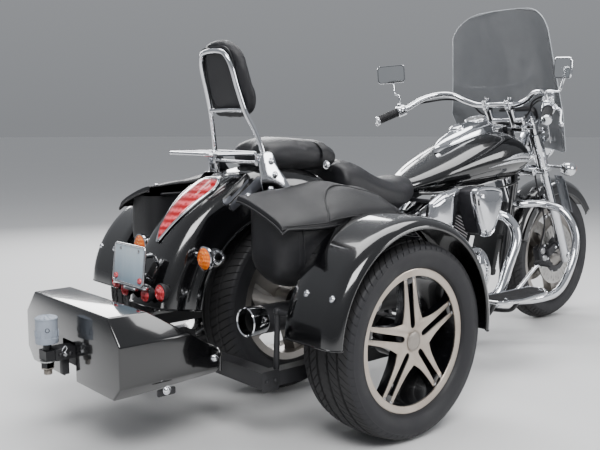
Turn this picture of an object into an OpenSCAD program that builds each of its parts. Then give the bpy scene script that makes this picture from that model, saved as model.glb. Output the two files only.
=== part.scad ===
// A cruiser motorcycle carried by a bolt-on pair of outboard wheels: a motorized trike.
// Millimetres. +X is forward, +Y is left, +Z is up, and the tyres stand on z = 0.
// Every module works from the driving axle, and place() moves it to the part's own frame.

/* [Wheels] */
// Distance between the front axle and the driving axle
wheelbase = 1690; // [1650:5:1760]
// Radius of the front tyre
front_tyre_r = 325; // [310:1:335]
// Width of the front tyre
front_tyre_w = 130; // [110:1:150]
// Radius at which the front tyre sits on its rim
front_rim_r = 236; // [215:1:245]
// Radius of the driving tyre
drive_tyre_r = 329; // [315:1:340]
// Width of the driving tyre
drive_tyre_w = 180; // [150:1:200]
// Radius at which the driving tyre sits on its rim
drive_rim_r = 212; // [195:1:225]
// Radius of an outboard tyre
kit_tyre_r = 306; // [290:1:312]
// Width of an outboard tyre
kit_tyre_w = 205; // [175:1:215]
// Radius at which an outboard tyre sits on its rim
kit_rim_r = 216; // [195:1:225]
// Distance between the centre planes of the outboard tyres
kit_track = 1166; // [1150:2:1240]
// Distance of the outboard axle behind the driving axle
kit_axle_back = 30; // [0:5:60]

/* [Steering] */
// Angle of the steering axis from the vertical
rake = 26; // [24:0.5:28]
// Distance of the fork legs ahead of the steering axis
fork_offset = 50; // [45:1:55]
// Distance between the fork legs
fork_spread = 222; // [214:2:240]
// Radius of a fork slider
slider_r = 27; // [24:1:29]
// Length from the axle to the top of the fork
fork_len = 730; // [720:5:745]
// Radius of the steering stem
stem_r = 15; // [12:0.5:18]
// Radius of the handlebar tube
bar_r = 14; // [11:0.5:16]

/* [Body] */
// Half width of the fuel tank
tank_half_w = 190; // [170:2:205]
// Half width of the rear mudguard
rear_guard_half_w = 118; // [112:1:124]
// Radius of the rear mudguard's crest
rear_guard_r = 505; // [490:1:512]
// Radius of an outboard mudguard's outer face
kit_guard_r = 356; // [350:1:370]
// Width of an outboard mudguard
kit_guard_w = 212; // [205:1:225]
// Thickness of an outboard mudguard
kit_guard_t = 4; // [3:0.5:6]
// Length of a saddlebag
bag_l = 470; // [430:5:490]
// Width of a saddlebag
bag_w = 210; // [190:2:214]
// Height of a saddlebag below its lid
bag_h = 235; // [200:5:245]
// Wall thickness of a saddlebag
bag_wall = 6; // [4:0.5:8]
// Height of the windshield
shield_h = 640; // [560:5:700]
// Half width of the tow cover
tow_half_w = 305; // [280:5:340]
// Thickness of the tow cover's sheet
tow_sheet = 4; // [3:0.5:6]

/* [Running gear] */
// Radius of the wheel axles
axle_r = 12; // [10:0.5:14]
// Radius of an outboard spindle
spindle_r = 17; // [15:0.5:19]
// Running clearance of a shaft in its bore
running = 0.05; // [0.02:0.01:0.09]
// Clearance left between pieces that seat on each other
seat_gap = 0.3; // [0.2:0.05:0.5]

/* [Hidden] */
$fn = 48;
soft_fn = 28;
tow_rear_x = -822;
tow_front_x = -490;
cap_r = 33;
hitch_x = -890;
front_end_x = wheelbase + front_tyre_r;
rear_end_x = hitch_x - cap_r;
box_mid_x = (front_end_x + rear_end_x) / 2;
half_spread = fork_spread / 2;
lower_clamp_z = 470;
clamp_t = 34;
upper_clamp_z = fork_len - 30;
head_r = 34;
head_z0 = lower_clamp_z + clamp_t + 1;
head_z1 = upper_clamp_z - 1;
kit_half = kit_track / 2;
kit_in_y = kit_half - kit_tyre_w / 2;
kit_guard_z = 328;
kit_guard_x = -45;
kit_guard_in_y = 492;
rail_y = 430;
rail_z = 215;
hub_face_y = kit_half - 62;
bag_in_y = 256;
bag_x0 = -372;
bag_top_z = 700;
lid_hinge_z = bag_top_z + 14;
muffler_y = -322;
muffler_z = 352;
guard_t = 4;
seat_rail_r = 13;
cradle_r = 16;
crank = [830, 0, 330];
head_half_w = 82;
beam_front_x = 345;
beam_rear_x = -445;
beam_w = 50;
beam_top_z = rail_z + beam_w / 2;

// ---- Shapes that several pieces share ----

// The mirror image of a list of points, and the same list from its far end
function flip(p) = [for (q = p) [q[0], -q[1], q[2]]];
function backwards(p) = [for (i = [len(p) - 1 : -1 : 0]) p[i]];

// Moves a piece from the driving axle's frame to the part's own frame
module place() { translate([-box_mid_x, 0, 0]) children(); }

// The same piece on both sides
module both() { children(); mirror([0, 1, 0]) children(); }

// A piece drawn for the left side, put on side 1 (left) or -1 (right)
module on_side(s) { if (s > 0) children(); else mirror([0, 1, 0]) children(); }

// Frame of the steering: origin at the front axle, local Z along the fork legs
module steer_frame() { translate([wheelbase, 0, front_tyre_r]) rotate([0, -rake, 0]) children(); }

// A round bar between two points
module rod(a, b, r) {
    d = b - a;
    l = norm(d);
    translate(a) rotate([0, acos(d[2] / l), atan2(d[1], d[0])]) cylinder(h = l, r = r);
}

// Unit vector from one point to the next, and half the bend of a run of points at point i
function unit(a, b) = (b - a) / norm(b - a);
function half_bend(p, i) = acos(unit(p[i - 1], p[i]) * unit(p[i], p[i + 1])) / 2;

// Ball at bend i of a run of points, turned so that its seam lies outside the bend
knuckle = 1.05;
module knuckle_ball(p, i, r) {
    a = unit(p[i - 1], p[i]);
    b = unit(p[i], p[i + 1]);
    z = unit([0, 0, 0], cross(a, b));
    x = unit(b, a);
    y = cross(z, x);
    c = p[i];
    multmatrix([[x[0], y[0], z[0], c[0]], [x[1], y[1], z[1], c[1]], [x[2], y[2], z[2], c[2]], [0, 0, 0, 1]])
        sphere(r = r, $fn = 32);
}

// A round tube through a list of points, with a knuckle at each bend that covers the tubes' ends
module tube(p, r) {
    last = len(p) - 1;
    cut = [for (i = [0 : last]) i == 0 || i == last ? 0 : r * (tan(half_bend(p, i)) + 0.02)];
    for (i = [0 : last - 1]) {
        d = unit(p[i], p[i + 1]);
        rod(p[i] + cut[i] * d, p[i + 1] - cut[i + 1] * d, r);
    }
    for (i = [1 : 1 : last - 1]) knuckle_ball(p, i, knuckle * r / cos(half_bend(p, i)));
}

// A disc or ring lying across the vehicle, centred on y = 0
module cross_disc(r, w) { rotate([90, 0, 0]) cylinder(h = w, r = r, center = true); }

// An outline in X and Z, given thickness along Y about y = 0
module side_plate(w) { rotate([90, 0, 0]) linear_extrude(w, center = true) children(); }

// Soft hull of balls: rows are [x, half spacing in y, z, radius]
module ball_hull(rows) {
    hull() for (b = rows, s = [-1, 1]) translate([b[0], s * b[1], b[2]]) sphere(r = b[3], $fn = soft_fn);
}

// A tyre of radius r and width w on a rim of radius rim_r
module tyre(r, w, rim_r) {
    c = min(w * 0.22, (r - rim_r) * 0.51); // shoulder, limited by the height of the wall
    rotate([90, 0, 0]) rotate_extrude($fn = 96) polygon([
        [rim_r + seat_gap, -w * 0.36], [rim_r + (r - rim_r) * 0.5, -w / 2], [r - c, -w / 2 + c * 0.25],
        [r, -w / 2 + c], [r, w / 2 - c], [r - c, w / 2 - c * 0.25],
        [rim_r + (r - rim_r) * 0.5, w / 2], [rim_r + seat_gap, w * 0.36]]);
}

// A cast rim with a bore, a barrel and a number of spokes whose face lies at y = -face
module rim(rim_r, w, bore_r, hub_r, hub_w, spokes, face, spoke_t, spoke_w) {
    rotate([90, 0, 0]) difference() {
        union() {
            rotate_extrude($fn = 96) polygon([[rim_r - 24, -w * 0.36], [rim_r, -w * 0.36],
                [rim_r, w * 0.36], [rim_r - 24, w * 0.36], [rim_r - 17, w * 0.2], [rim_r - 17, -w * 0.2]]);
            translate([0, 0, -hub_w / 2]) cylinder(h = hub_w / 2 + max(hub_w / 2, face + 4), r = hub_r);
            for (i = [0 : spokes - 1]) rotate([0, 0, i * 360 / spokes])
                translate([0, -spoke_w / 2, face - spoke_t]) cube([rim_r - 15, spoke_w, spoke_t]);
        }
        cylinder(h = w + hub_w, r = bore_r, center = true);
    }
}

// ---- Frame and engine ----

// Bore of the steering head, on the steering axis
module head_bore() {
    steer_frame() translate([-fork_offset, 0, head_z0 - 5])
        cylinder(h = head_z1 - head_z0 + 10, r = stem_r + running);
}

spine_front = [wheelbase - 310, 0, 816];
spine_mid = [980, 0, 752];
spine_rear = [600, 0, 646];
spine_r = 30;
rail_half = rear_guard_half_w - guard_t - 1.07 * seat_rail_r - seat_gap;
seat_rail = [[600, 40, 646], [455, 90, 606], [230, rail_half, 622], [120, rail_half, 685],
    [-60, rail_half, 716], [-205, rail_half, 716]];
module frame_spine() color("#15151a") difference() {
    union() {
        steer_frame() translate([-fork_offset, 0, head_z0]) cylinder(h = head_z1 - head_z0, r = head_r);
        tube([spine_front, spine_mid, spine_rear], spine_r);
        translate(spine_rear) sphere(r = knuckle * spine_r, $fn = 32);
        both() tube(seat_rail, seat_rail_r);
    }
    head_bore();
}

// Side pieces of the frame below the tank: down tube, lower rail and upright
cradle_y = 135;
cradle_z = 165;
cradle = [[1340, 47, 795], [1290, 90, 690], [1150, 130, 205], [1085, cradle_y, cradle_z],
    [490, cradle_y, cradle_z], [430, 130, 200], [401, 96, 583]];
module frame_cradle() color("#15151a") both() {
    tube(cradle, cradle_r);
    translate([1325, spine_r + seat_gap, 790]) cube([30, 18, 28]);
}

module engine() color("#2a2a2e") {
    translate(crank) cross_disc(150, 230);
    translate([560, -105, 215]) cube([280, 210, 190]);
    translate([600, -95, 190]) cube([420, 190, 60]);
    translate([912, -118, 322]) cross_disc(92, 56);
    for (x = [610, 960]) translate([x, -cradle_y, cradle_z + cradle_r + seat_gap]) cube([36, 2 * cradle_y, 24]);
}

// Finned barrels of the V twin, leaning 26 degrees each way
barrel = [["front", 26], ["rear", -26]];
module cylinders() color("#1b1b20") for (b = barrel) translate(crank) rotate([0, b[1], 0]) {
    translate([0, 0, 150.5]) cylinder(h = 165, r = 58);
    for (i = [0 : 5]) translate([0, 0, 160 + i * 16]) cylinder(h = 6, r = 80);
    translate([-78, -head_half_w, 252]) cube([156, 2 * head_half_w, 68]);
}

module air_cleaner() color("#c8c8cc") {
    translate([885, -240, 500]) side_plate(74)
        polygon([[-95, 190], [-20, 212], [88, 190], [92, 130], [48, 0], [-32, 0], [-86, 120]]);
    rod([905, -head_half_w - seat_gap, 600], [905, -215, 600], 28);
}

module radiator() color("#1b1b1f") {
    translate([1100, 0, 0]) rotate([0, 16, 0]) translate([-20, -70, 290]) cube([40, 140, 340]);
    both() translate([1208, 60, 440]) cube([28, 32.6, 20]);
}

// Two header pipes, a collector and one long silencer on the right
header_front = [[984, -head_half_w - seat_gap, 578], [984, -190, 578], [1020, -245, 556], [1022, -283, 490],
    [985, -283, 400], [905, -262, 252], [838, -246, 238]];
header_rear = [[685, -head_half_w - seat_gap, 582], [685, -128, 582], [645, -141, 545], [640, -141, 400],
    [662, -178, 302], [752, -254, 252]];
silencer_a = [440, muffler_y, muffler_z];
silencer_b = [-408, muffler_y, muffler_z + 10];
silencer_u = unit(silencer_a, silencer_b);
module exhaust() color("#c8c8cc") {
    difference() {
        rod(silencer_a, silencer_b, 44);
        rod(silencer_b - 68 * silencer_u, silencer_b + 10 * silencer_u, 38);
    }
    tube([[850, -245, 236], [700, -262, 262], [520, -312, 330]], 26);
    rod([560, -301, 315], [430, muffler_y, muffler_z], 34);
    tube(header_front, 21);
    tube(header_rear, 19);
}

// ---- Tank, seats and covers ----

function tank_rows(grow) = [[1180, tank_half_w - 95, 830, 95 + grow],
    [1236, tank_half_w - 115, 798, 84 + grow], [920, tank_half_w - 92, 786, 84 + grow],
    [690, 30, 735, 44 + grow]];
module fuel_tank() color("#101014") difference() {
    ball_hull(tank_rows(0));
    tube([spine_front + 60 * unit(spine_mid, spine_front), spine_mid, spine_rear], spine_r + seat_gap);
    translate([960, 0, 640]) rotate([0, -11, 0]) cube([900, 2 * spine_r + 2, 212], center = true);
    translate([1270, -112, 640]) cube([200, 224, 145]);
    translate([1290, -72, 640]) cube([200, 144, 190]);
    steer_frame() translate([-fork_offset, 0, head_z0 - 40])
        cylinder(h = head_z1 - head_z0 + 80, r = head_r + 6);
}

// Chromed console along the crest of the tank, ending short of the handlebar's sweep
module tank_console() color("#d0d0d4") difference() {
    hull() {
        translate([1150, 0, 918]) sphere(r = 62, $fn = soft_fn);
        translate([1080, 0, 905]) sphere(r = 60, $fn = soft_fn);
        translate([850, 0, 850]) sphere(r = 22, $fn = soft_fn);
    }
    ball_hull(tank_rows(seat_gap));
}

seat_base_z = 628;
module rider_seat() color("#18181c") difference() {
    union() {
        ball_hull([[240, 95, 782, 48], [330, 120, 735, 52], [300, 100, 720, 50]]);
        ball_hull([[330, 120, 735, 52], [460, 118, 705, 46], [500, 118, 690, 46]]);
        ball_hull([[480, 118, 698, 46], [570, 78, 706, 50], [584, 50, 722, 46]]);
    }
    translate([0, -300, seat_base_z - 200]) cube([900, 600, 200]);
    translate([0, -300, seat_base_z - 200]) cube([190, 600, 400]);
    translate([spine_rear[0], 0, spine_rear[2]]) sphere(r = knuckle * spine_r + seat_gap);
    tube([spine_mid, spine_rear], spine_r + seat_gap);
    both() tube(seat_rail, seat_rail_r + seat_gap);
}

module passenger_seat() color("#18181c") difference() {
    ball_hull([[-112, 78, 858, 40], [140, 92, 850, 40], [150, 80, 818, 36], [-110, 70, 818, 36]]);
    translate([-300, -300, 600]) cube([900, 600, 192]);
    translate(guard_c) cross_disc(rear_guard_r + seat_gap, 400);
}

module side_covers() color("#b8b8bc") both() {
    translate([690, 178, 0]) side_plate(24)
        polygon([[-105, 560], [-85, 640], [72, 696], [92, 690], [62, 545], [20, 520]]);
    rod([660, spine_r - 0.4, 648], [660, 170, 648], 8);
}

// ---- Rear body ----

guard_c = [-80, 0, 310];
guard_a0 = 62;
guard_a1 = 171;
module guard_profile(r, half_w, t, skirt) {
    polygon([[r - skirt, -half_w], [r - 34, -half_w], [r - 8, -half_w + 22], [r, -half_w + 60],
        [r, half_w - 60], [r - 8, half_w - 22], [r - 34, half_w], [r - skirt, half_w],
        [r - skirt, half_w - t], [r - 36, half_w - t], [r - 8 - t, half_w - 24], [r - t, half_w - 60],
        [r - t, -half_w + 60], [r - 8 - t, -half_w + 24], [r - 36, -half_w + t], [r - skirt, -half_w + t]]);
}
// Partial turn of a profile about a cross axis, from angle a0 to a1 above the forward direction
module cross_sweep(a0, a1) {
    rotate([90, 0, 0]) rotate([0, 0, a0]) rotate_extrude(angle = a1 - a0, $fn = 120) children();
}

module rear_mudguard() color("#101014") translate(guard_c)
    cross_sweep(guard_a0, guard_a1) guard_profile(rear_guard_r, rear_guard_half_w, guard_t, 150);

// Kite shaped lens along the crest, on a thin chromed bezel
module tail_lamp() color("#c01818") translate(guard_c) intersection() {
    cross_sweep(100, 160) translate([rear_guard_r + seat_gap, -80]) square([16, 160]);
    rotate([0, -40, 0]) translate([0, 0, rear_guard_r - 120]) linear_extrude(260)
        polygon([[128, 42], [78, 66], [-150, 5], [-150, -5], [78, -66], [128, -42]]);
}

plate_x = -612;
module number_plate() color("#c8ccd4") {
    translate([plate_x, 0, 520]) rotate([0, 6, 0]) {
        cube([4, 184, 122], center = true);
        translate([3, 0, -54]) cube([8, 190, 14], center = true);
        translate([6, 0, 0]) cube([10, 30, 112], center = true);
    }
    rod([plate_x + 6, 0, 540], [-535.2, 0, 540], 8);
    rod([plate_x + 2, 0, 478], [-559.5, 0, 478], 8);
}

// Lamps that face the rear: [x, y, z, radius, depth, stalk end]
amber = [-470, rear_guard_half_w + 74, 545, 39, 62];
red = [[-600, rear_guard_half_w - 56, 432, 27, 25.4], [-590, rear_guard_half_w + 16, 446, 29, 30]];
module rear_lamp(l) {
    translate([l[0], l[1], l[2]]) rotate([0, 90, 0]) cylinder(h = l[4], r1 = l[3], r2 = l[3] * 0.6);
}
module rear_lamps() color("#e07010") both() {
    rear_lamp(amber);
    rod([-440, amber[1] - 12, 545], [-440, rear_guard_half_w + seat_gap, 545], 9);
    for (l = red) rear_lamp(l);
    rod([-586, red[0][1], 432], [-576, red[1][1], 446], 6);
}

pivot = [400, 84, 310];
module swingarm() color("#1b1b20") {
    both() {
        translate([0, 128, drive_tyre_r]) cross_disc(46, 44);
        translate([0, 156, drive_tyre_r]) cross_disc(62, 50);
        tube([[0, 128, drive_tyre_r], [270, 124, 318], pivot], 24);
    }
    rod([pivot[0] + 15, -101.9, pivot[2]], [pivot[0] + 15, 101.9, pivot[2]], 20);
    translate([0, 0, drive_tyre_r]) cross_disc(axle_r, 250);
    rod([70, 152, 322], [300, 152, 316], 28);
}

module rear_shocks() color("#c8c8cc") both() {
    rod([20, 196, 362], [-70, 196, 680], 11);
    rod([8, 196, 405], [-32, 196, 545], 26);
    rod([-32, 196, 545], [-62, 196, 652], 20);
    rod([-70, 196, 680], [-70, rear_guard_half_w + seat_gap, 680], 9);
    rod([20, 200, 362], [20, 181 + seat_gap, 362], 12);
}

// ---- Backrest, rack and saddlebags ----

bar_low = [-172, 137, 740];
bar_bend = [-188, 137, 858];
bar_waist = [-232, 96, 992];
bar_top = [-277, 84, 1140];
hoop = [bar_low, bar_bend, bar_waist, bar_top, [-290, 46, 1182]];
module backrest_bar() color("#d0d0d4") {
    tube(concat(hoop, backwards(flip(hoop))), 8);
    both() {
        translate([-160, 137, 770]) side_plate(9)
            polygon([[-50, 75], [10, 88], [40, 20], [95, -45], [60, -66], [-30, -62]]);
        rod([-112, rear_guard_half_w + seat_gap, 712], [-112, 138, 712], 8);
    }
    rod([-234, -96, 998], [-234, 96, 998], 7);
}

pad_tilt = 17;
pad_face = 1.4;
module backrest_pad() color("#18181c") translate([-216, 0, 968]) rotate([0, -pad_tilt, 0]) difference() {
    hull() for (s = [-1, 1]) {
        translate([pad_face, s * 84, 55]) rotate([0, 90, 0]) cylinder(h = 50, r = 40, $fn = soft_fn);
        translate([pad_face, s * 66, 215]) rotate([0, 90, 0]) cylinder(h = 50, r = 46, $fn = soft_fn);
    }
    translate([-100, -200, -200]) cube([100 + pad_face, 400, 600]);
}

rack_z = 858;
rack_t = 12;
rack_x0 = -398;
rack_x1 = -190;
module luggage_rack() color("#d0d0d4") {
    translate([(rack_x0 + rack_x1) / 2, 0, rack_z]) difference() {
        cube([rack_x1 - rack_x0, 250, rack_t], center = true);
        for (i = [-2 : 2]) translate([0, i * 44, 0]) cube([136, 26, rack_t + 2], center = true);
    }
    both() translate([-206, 137 - 8 - seat_gap - 16, rack_z - 44]) cube([22, 16, 40]);
    rod([-200, -120, rack_z - 30], [-200, 120, rack_z - 30], 6);
}

// Outline of a saddlebag in side view, as rounded corners at the bottom
module bag_outline(inset) {
    hull() {
        translate([75, 75]) circle(r = 75 - inset);
        translate([bag_l - 60, 60]) circle(r = 60 - inset);
        translate([inset + 8, bag_h - 9 + inset * 0]) square([bag_l - 2 * inset - 16, 9]);
    }
}
module saddlebag_left() difference() {
    translate([bag_x0, bag_in_y + bag_w / 2, bag_top_z - bag_h]) side_plate(bag_w) bag_outline(0);
    difference() {
        translate([bag_x0, bag_in_y + bag_w / 2, bag_top_z - bag_h + 0.01])
            side_plate(bag_w - 2 * bag_wall) bag_outline(bag_wall);
        translate([bag_x0 - 10, bag_in_y, bag_top_z]) cube([bag_l + 20, bag_w, 10]);
    }
}
module bag_hanger() for (x = [-200, 40])
    rod([x, rear_guard_half_w + seat_gap, 690], [x, bag_in_y + 3, 690], 9);
module left_saddlebag() color("#17171b") { saddlebag_left(); bag_hanger(); }
module right_saddlebag() color("#17171b") mirror([0, 1, 0]) { saddlebag_left(); bag_hanger(); }

// Crowned lid with a flap that hangs over the outer wall; its hinge runs along the inner edge
lid_over = 16;
module bag_lid() difference() {
    translate([0, 0, bag_top_z + seat_gap]) union() {
        hull() {
            translate([bag_x0 - 10, bag_in_y, 0]) cube([bag_l + 30, bag_w + lid_over - 4, 10]);
            translate([bag_x0 + 120, bag_in_y + 4, 20]) cube([240, 40, 52]);
            translate([bag_x0 + 40, bag_in_y + 30, 20]) cube([bag_l - 90, bag_w - 90, 26]);
        }
        translate([bag_x0 - 10, bag_in_y + bag_w + 6, -34]) cube([bag_l + 30, lid_over - 10, 40]);
    }
    translate([bag_x0 + 40, bag_in_y + 12, bag_top_z - 1]) cube([bag_l - 80, bag_w - 24, 8]);
}
module left_bag_lid() color("#17171b") bag_lid();
module right_bag_lid() color("#17171b") mirror([0, 1, 0]) bag_lid();

// ---- Outboard wheels and their carrier ----

// Mudguard: a band with an inner edge, turned down into a lip outside
module kit_mudguard() translate([kit_guard_x, 0, kit_guard_z]) cross_sweep(-6, 177)
    polygon([for (p = [[0, 0], [0, kit_guard_w - 26], [-8, kit_guard_w - 8], [-26, kit_guard_w],
        [-26, kit_guard_w - kit_guard_t], [-10, kit_guard_w - 11], [-kit_guard_t, kit_guard_w - 27],
        [-kit_guard_t, 0]]) [kit_guard_r + p[0], -kit_guard_in_y - p[1]]]);
module left_outboard_mudguard() color("#101014") kit_mudguard();
module right_outboard_mudguard() color("#101014") mirror([0, 1, 0]) kit_mudguard();

module outrigger_beams() color("#1b1b20") {
    for (x = [beam_front_x, beam_rear_x])
        translate([x, -rail_y - 25, rail_z - beam_w / 2]) cube([beam_w, 2 * rail_y + 50, beam_w]);
    both() translate([beam_front_x + beam_w - 1, 112, rail_z - 25]) cube([16.5, 38, 26]);
}

// Side rail, hub carrier, spindle and mudguard stays of one outboard wheel
guard_bolt_a = [12, 166];
stay_r = 9;
module outrigger_arm() {
    translate([beam_rear_x + beam_w + seat_gap, rail_y - 22, rail_z - 22])
        cube([beam_front_x - beam_rear_x - beam_w - 2 * seat_gap, 44, 44]);
    translate([-kit_axle_back - 45, rail_y - 20, rail_z + 20]) cube([90, 30, 100]);
    translate([-kit_axle_back, 0, kit_tyre_r]) rotate([-90, 0, 0]) {
        translate([0, 0, rail_y - 20]) cylinder(h = 40, r = 45);
        cylinder_from_rail();
    }
    for (a = guard_bolt_a) {
        x = kit_guard_x + (kit_guard_r - kit_guard_t - stay_r - seat_gap) * cos(a);
        z = kit_guard_z + (kit_guard_r - kit_guard_t - stay_r - seat_gap) * sin(a);
        tube([[x, rail_y, rail_z + 10], [x, rail_y + 8, z], [x, kit_guard_in_y + 40, z]], stay_r);
    }
}
module cylinder_from_rail() translate([0, 0, rail_y + 10])
    cylinder(h = kit_half - rail_y + 30, r = spindle_r);
module outrigger_arms() color("#1b1b20") both() outrigger_arm();

// ---- Tow gear ----

module tow_rear_outline(inset) polygon([[-tow_half_w + 64 + inset * 0.4, 425 - inset],
    [tow_half_w - 64 - inset * 0.4, 425 - inset], [tow_half_w - inset, 355 - inset * 0.4],
    [tow_half_w - inset, 236 + inset * 0.4], [tow_half_w - 40, 194], [-tow_half_w + 40, 194],
    [-tow_half_w + inset, 236 + inset * 0.4], [-tow_half_w + inset, 355 - inset * 0.4]]);
module tow_side_outline() polygon([[tow_rear_x, 190], [tow_rear_x, 430], [-700, 430], [tow_front_x, 292],
    [tow_front_x, 216]]);
module tow_solid(inset) intersection() {
    translate([tow_rear_x, 0, 0]) rotate([90, 0, 90]) linear_extrude(400) tow_rear_outline(inset);
    side_plate(2 * tow_half_w + 10) tow_side_outline();
}
module tow_cover() color("#141418") difference() {
    tow_solid(0);
    translate([tow_sheet, 0, -tow_sheet * 1.4]) intersection() {
        tow_solid(tow_sheet);
        translate([tow_rear_x, -400, 100]) cube([400, 800, 400]);
    }
    translate([tow_rear_x - 10, -42, 150]) cube([40, 84, 165]);
    translate([-520, -400, 180]) cube([100, 800, 20]);
}

module tow_bar() color("#1b1b20") {
    translate([-815, -32, beam_top_z + seat_gap]) cube([beam_rear_x + beam_w + 815, 64, 40]);
    translate([-905, -24, 268]) cube([92, 48, 30]);
    translate([hitch_x, 0, 240]) cylinder(h = 94, r = 12);
    translate([hitch_x, 0, 246]) cylinder(h = 16, r = 20, $fn = 6);
    translate([hitch_x, 0, 343]) sphere(r = 25);
    for (x = [-509, -675]) rod([x, -tow_half_w + tow_sheet + seat_gap, 264],
        [x, tow_half_w - tow_sheet - seat_gap, 264], 9);
}
module tow_ball_cap() color("#9aa0aa") translate([hitch_x, 0, 319]) difference() {
    union() {
        cylinder(h = 74, r = cap_r);
        translate([0, 0, 74]) cylinder(h = 9, r1 = cap_r, r2 = 8);
    }
    translate([0, 0, -1]) cylinder(h = 60, r = 25 + seat_gap);
}

// ---- Rider's gear ----

guard_hoop = [[1265, 115.2, 600], [1265, 150, 600], [1325, 215, 602], [1352, 300, 575], [1362, 352, 500], [1352, 368, 420],
    [1310, 366, 320], [1268, 340, 235], [1215, 270, 196], [1120, 190, 190],
    [1118, 149.8, 186]];
module engine_guards() color("#d0d0d4") both() tube(guard_hoop, 17);

board_z = 262;
module floorboards() color("#3a3a40") both() {
    difference() {
        translate([720, 300, board_z]) linear_extrude(14)
            polygon([[0, 14], [20, 120], [110, 150], [330, 132], [386, 90], [374, 10], [20, 0]]);
        translate([735, 318, board_z + 11]) cube([300, 1, 4]);
    }
    for (x = [830, 1000]) tube([[x, cradle_y + cradle_r + 0.5, cradle_z], [x, 290, 185], [x, 330, 266]], 10);
}

module foot_controls() color("#b8b8bc") {
    side = cradle_y + cradle_r + seat_gap;
    tube([[1050, -side, cradle_z], [1050, -180, cradle_z], [1120, -232, 240], [1205, -262, 330], [1225, -282, 352]], 8);
    translate([1226, -292, 354]) rotate([0, 25, 0]) cube([30, 84, 12], center = true);
    tube([[1050, side, cradle_z], [1050, 180, cradle_z], [1110, 232, 240], [1200, 250, 330], [1200, 300, 330]], 8);
    both() tube([[545, side, cradle_z], [545, 180, cradle_z], [545, 232, 215], [545, 240, 215]], 9);
    both() rod([545, 236, 215], [545, 310, 215], 15);
}

// ---- Steering ----

module fork() color("#c8c8cc") steer_frame() {
    both() translate([0, half_spread, 0]) {
        translate([0, 0, -34]) cylinder(h = 300, r = slider_r);
        translate([0, 0, 260]) cylinder(h = fork_len - 260, r = 21);
        translate([0, 0, lower_clamp_z + 10]) cylinder(h = 170, r = 29);
    }
    for (z = [lower_clamp_z, upper_clamp_z]) hull() {
        both() translate([0, half_spread, z]) cylinder(h = clamp_t - 4, r = 33, $fn = 32);
        translate([-fork_offset, 0, z]) cylinder(h = clamp_t - 4, r = 36, $fn = 32);
    }
    translate([-fork_offset, 0, lower_clamp_z + 4]) cylinder(h = upper_clamp_z - lower_clamp_z, r = stem_r);
    cross_disc(axle_r, fork_spread + 30);
}

disc_r = 148;
disc_y = 62;
module brake_calipers() color("#b0b0b4") steer_frame() both() difference() {
    union() {
        translate([-142, disc_y - 20, 25]) cube([58, 40, 84]);
        translate([-100, disc_y + 10, 40]) cube([84, half_spread - disc_y - 11, 44]);
    }
    translate([0, disc_y, 0]) cross_disc(disc_r + 5, 15);
    translate([0, half_spread, -40]) cylinder(h = 400, r = slider_r + seat_gap);
}

// Wide handlebar swept back from its risers, as points in the steering frame's own axes
bar_pts = [[-61, 100, 826], [-68, 165, 850], [-82, 222, 888], [-112, 285, 905],
    [-168, 338, 908], [-236, 380, 896], [-372, 452, 896]];
module handlebar() color("#d0d0d4") steer_frame() {
    tube(concat(backwards(bar_pts), flip(bar_pts)), bar_r);
    both() {
        translate([-42, 60, fork_len + seat_gap]) cylinder(h = 8, r = 16);
        rod([-43, 60, fork_len + 6], [-59, 60, 822], 13);
        translate([-61, 60, 826]) cube([42, 26, 42], center = true);
    }
}

// Grips and control housings are sleeves on the bar's last straight, measured along it
grip_from = bar_pts[len(bar_pts) - 2];
grip_to = bar_pts[len(bar_pts) - 1];
grip_u = unit(grip_from, grip_to);
housing = grip_from + 30 * grip_u;
module hand_controls() color("#202024") steer_frame() both() {
    difference() {
        union() {
            rod(grip_from + 46 * grip_u, grip_to + 6 * grip_u, 19);
            rod(grip_from + 8 * grip_u, grip_from + 50 * grip_u, 26);
            tube([housing + [18, 22, -4], housing + [26, 50, -12], housing + [-30, 96, -24],
                housing + [-140, 136, -34]], 6);
        }
        rod(grip_from, grip_to + seat_gap * grip_u, bar_r + seat_gap);
    }
}

mirror_c = [-185, 432, 1048];
module mirrors() color("#c8c8cc") steer_frame() both() {
    tube([housing + [0, 0, 26 + seat_gap], housing + [0, 0, 60], mirror_c + [-6, -20, -60],
        mirror_c + [0, 0, -30]], 5);
    translate(mirror_c) rotate([0, rake, 0]) rotate([0, 0, 4]) cube([16, 134, 84], center = true);
}

// Curved screen: an upright shell of a wide arc, cut to a rounded outline
shield_r = 420;
shield_t = 5;
shield_lean = 17;
shield_at = [-12, 0, 566];
module mirror_2d() { children(); mirror([1, 0]) children(); }
module windshield() color("#a8b0b8", 0.4) steer_frame() {
    translate(shield_at) rotate([0, rake - shield_lean, 0]) intersection() {
        translate([78 - shield_r, 0, 0]) difference() {
            cylinder(h = shield_h, r = shield_r, $fn = 120);
            translate([0, 0, -1]) cylinder(h = shield_h + 2, r = shield_r - shield_t, $fn = 120);
        }
        rotate([90, 0, 90]) linear_extrude(300, center = true) difference() {
            hull() {
                mirror_2d() translate([210, 60]) circle(r = 60);
                mirror_2d() translate([225, 200]) circle(r = 50);
                mirror_2d() translate([110, shield_h - 132]) circle(r = 130);
            }
            translate([0, 20]) circle(r = 104);
            translate([-104, -90]) square([208, 110]);
        }
    }
    both() rod([29 + seat_gap, half_spread, 640], [60, half_spread, 640], 8);
    both() rod([29 + seat_gap, half_spread, 600], [54, half_spread, 600], 8);
}

module headlight() color("#c8c8cc") steer_frame() {
    translate([96, 0, 560]) rotate([0, rake, 0]) {
        rotate([0, 90, 0]) cylinder(h = 74, r1 = 60, r2 = 88, center = true);
        translate([44, 0, 0]) rotate([0, 90, 0]) cylinder(h = 14, r = 92, center = true);
    }
    tube([[33 + seat_gap, 0, lower_clamp_z + 15], [72, 0, lower_clamp_z + 15], [96, 0, 545]], 13);
}

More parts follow.
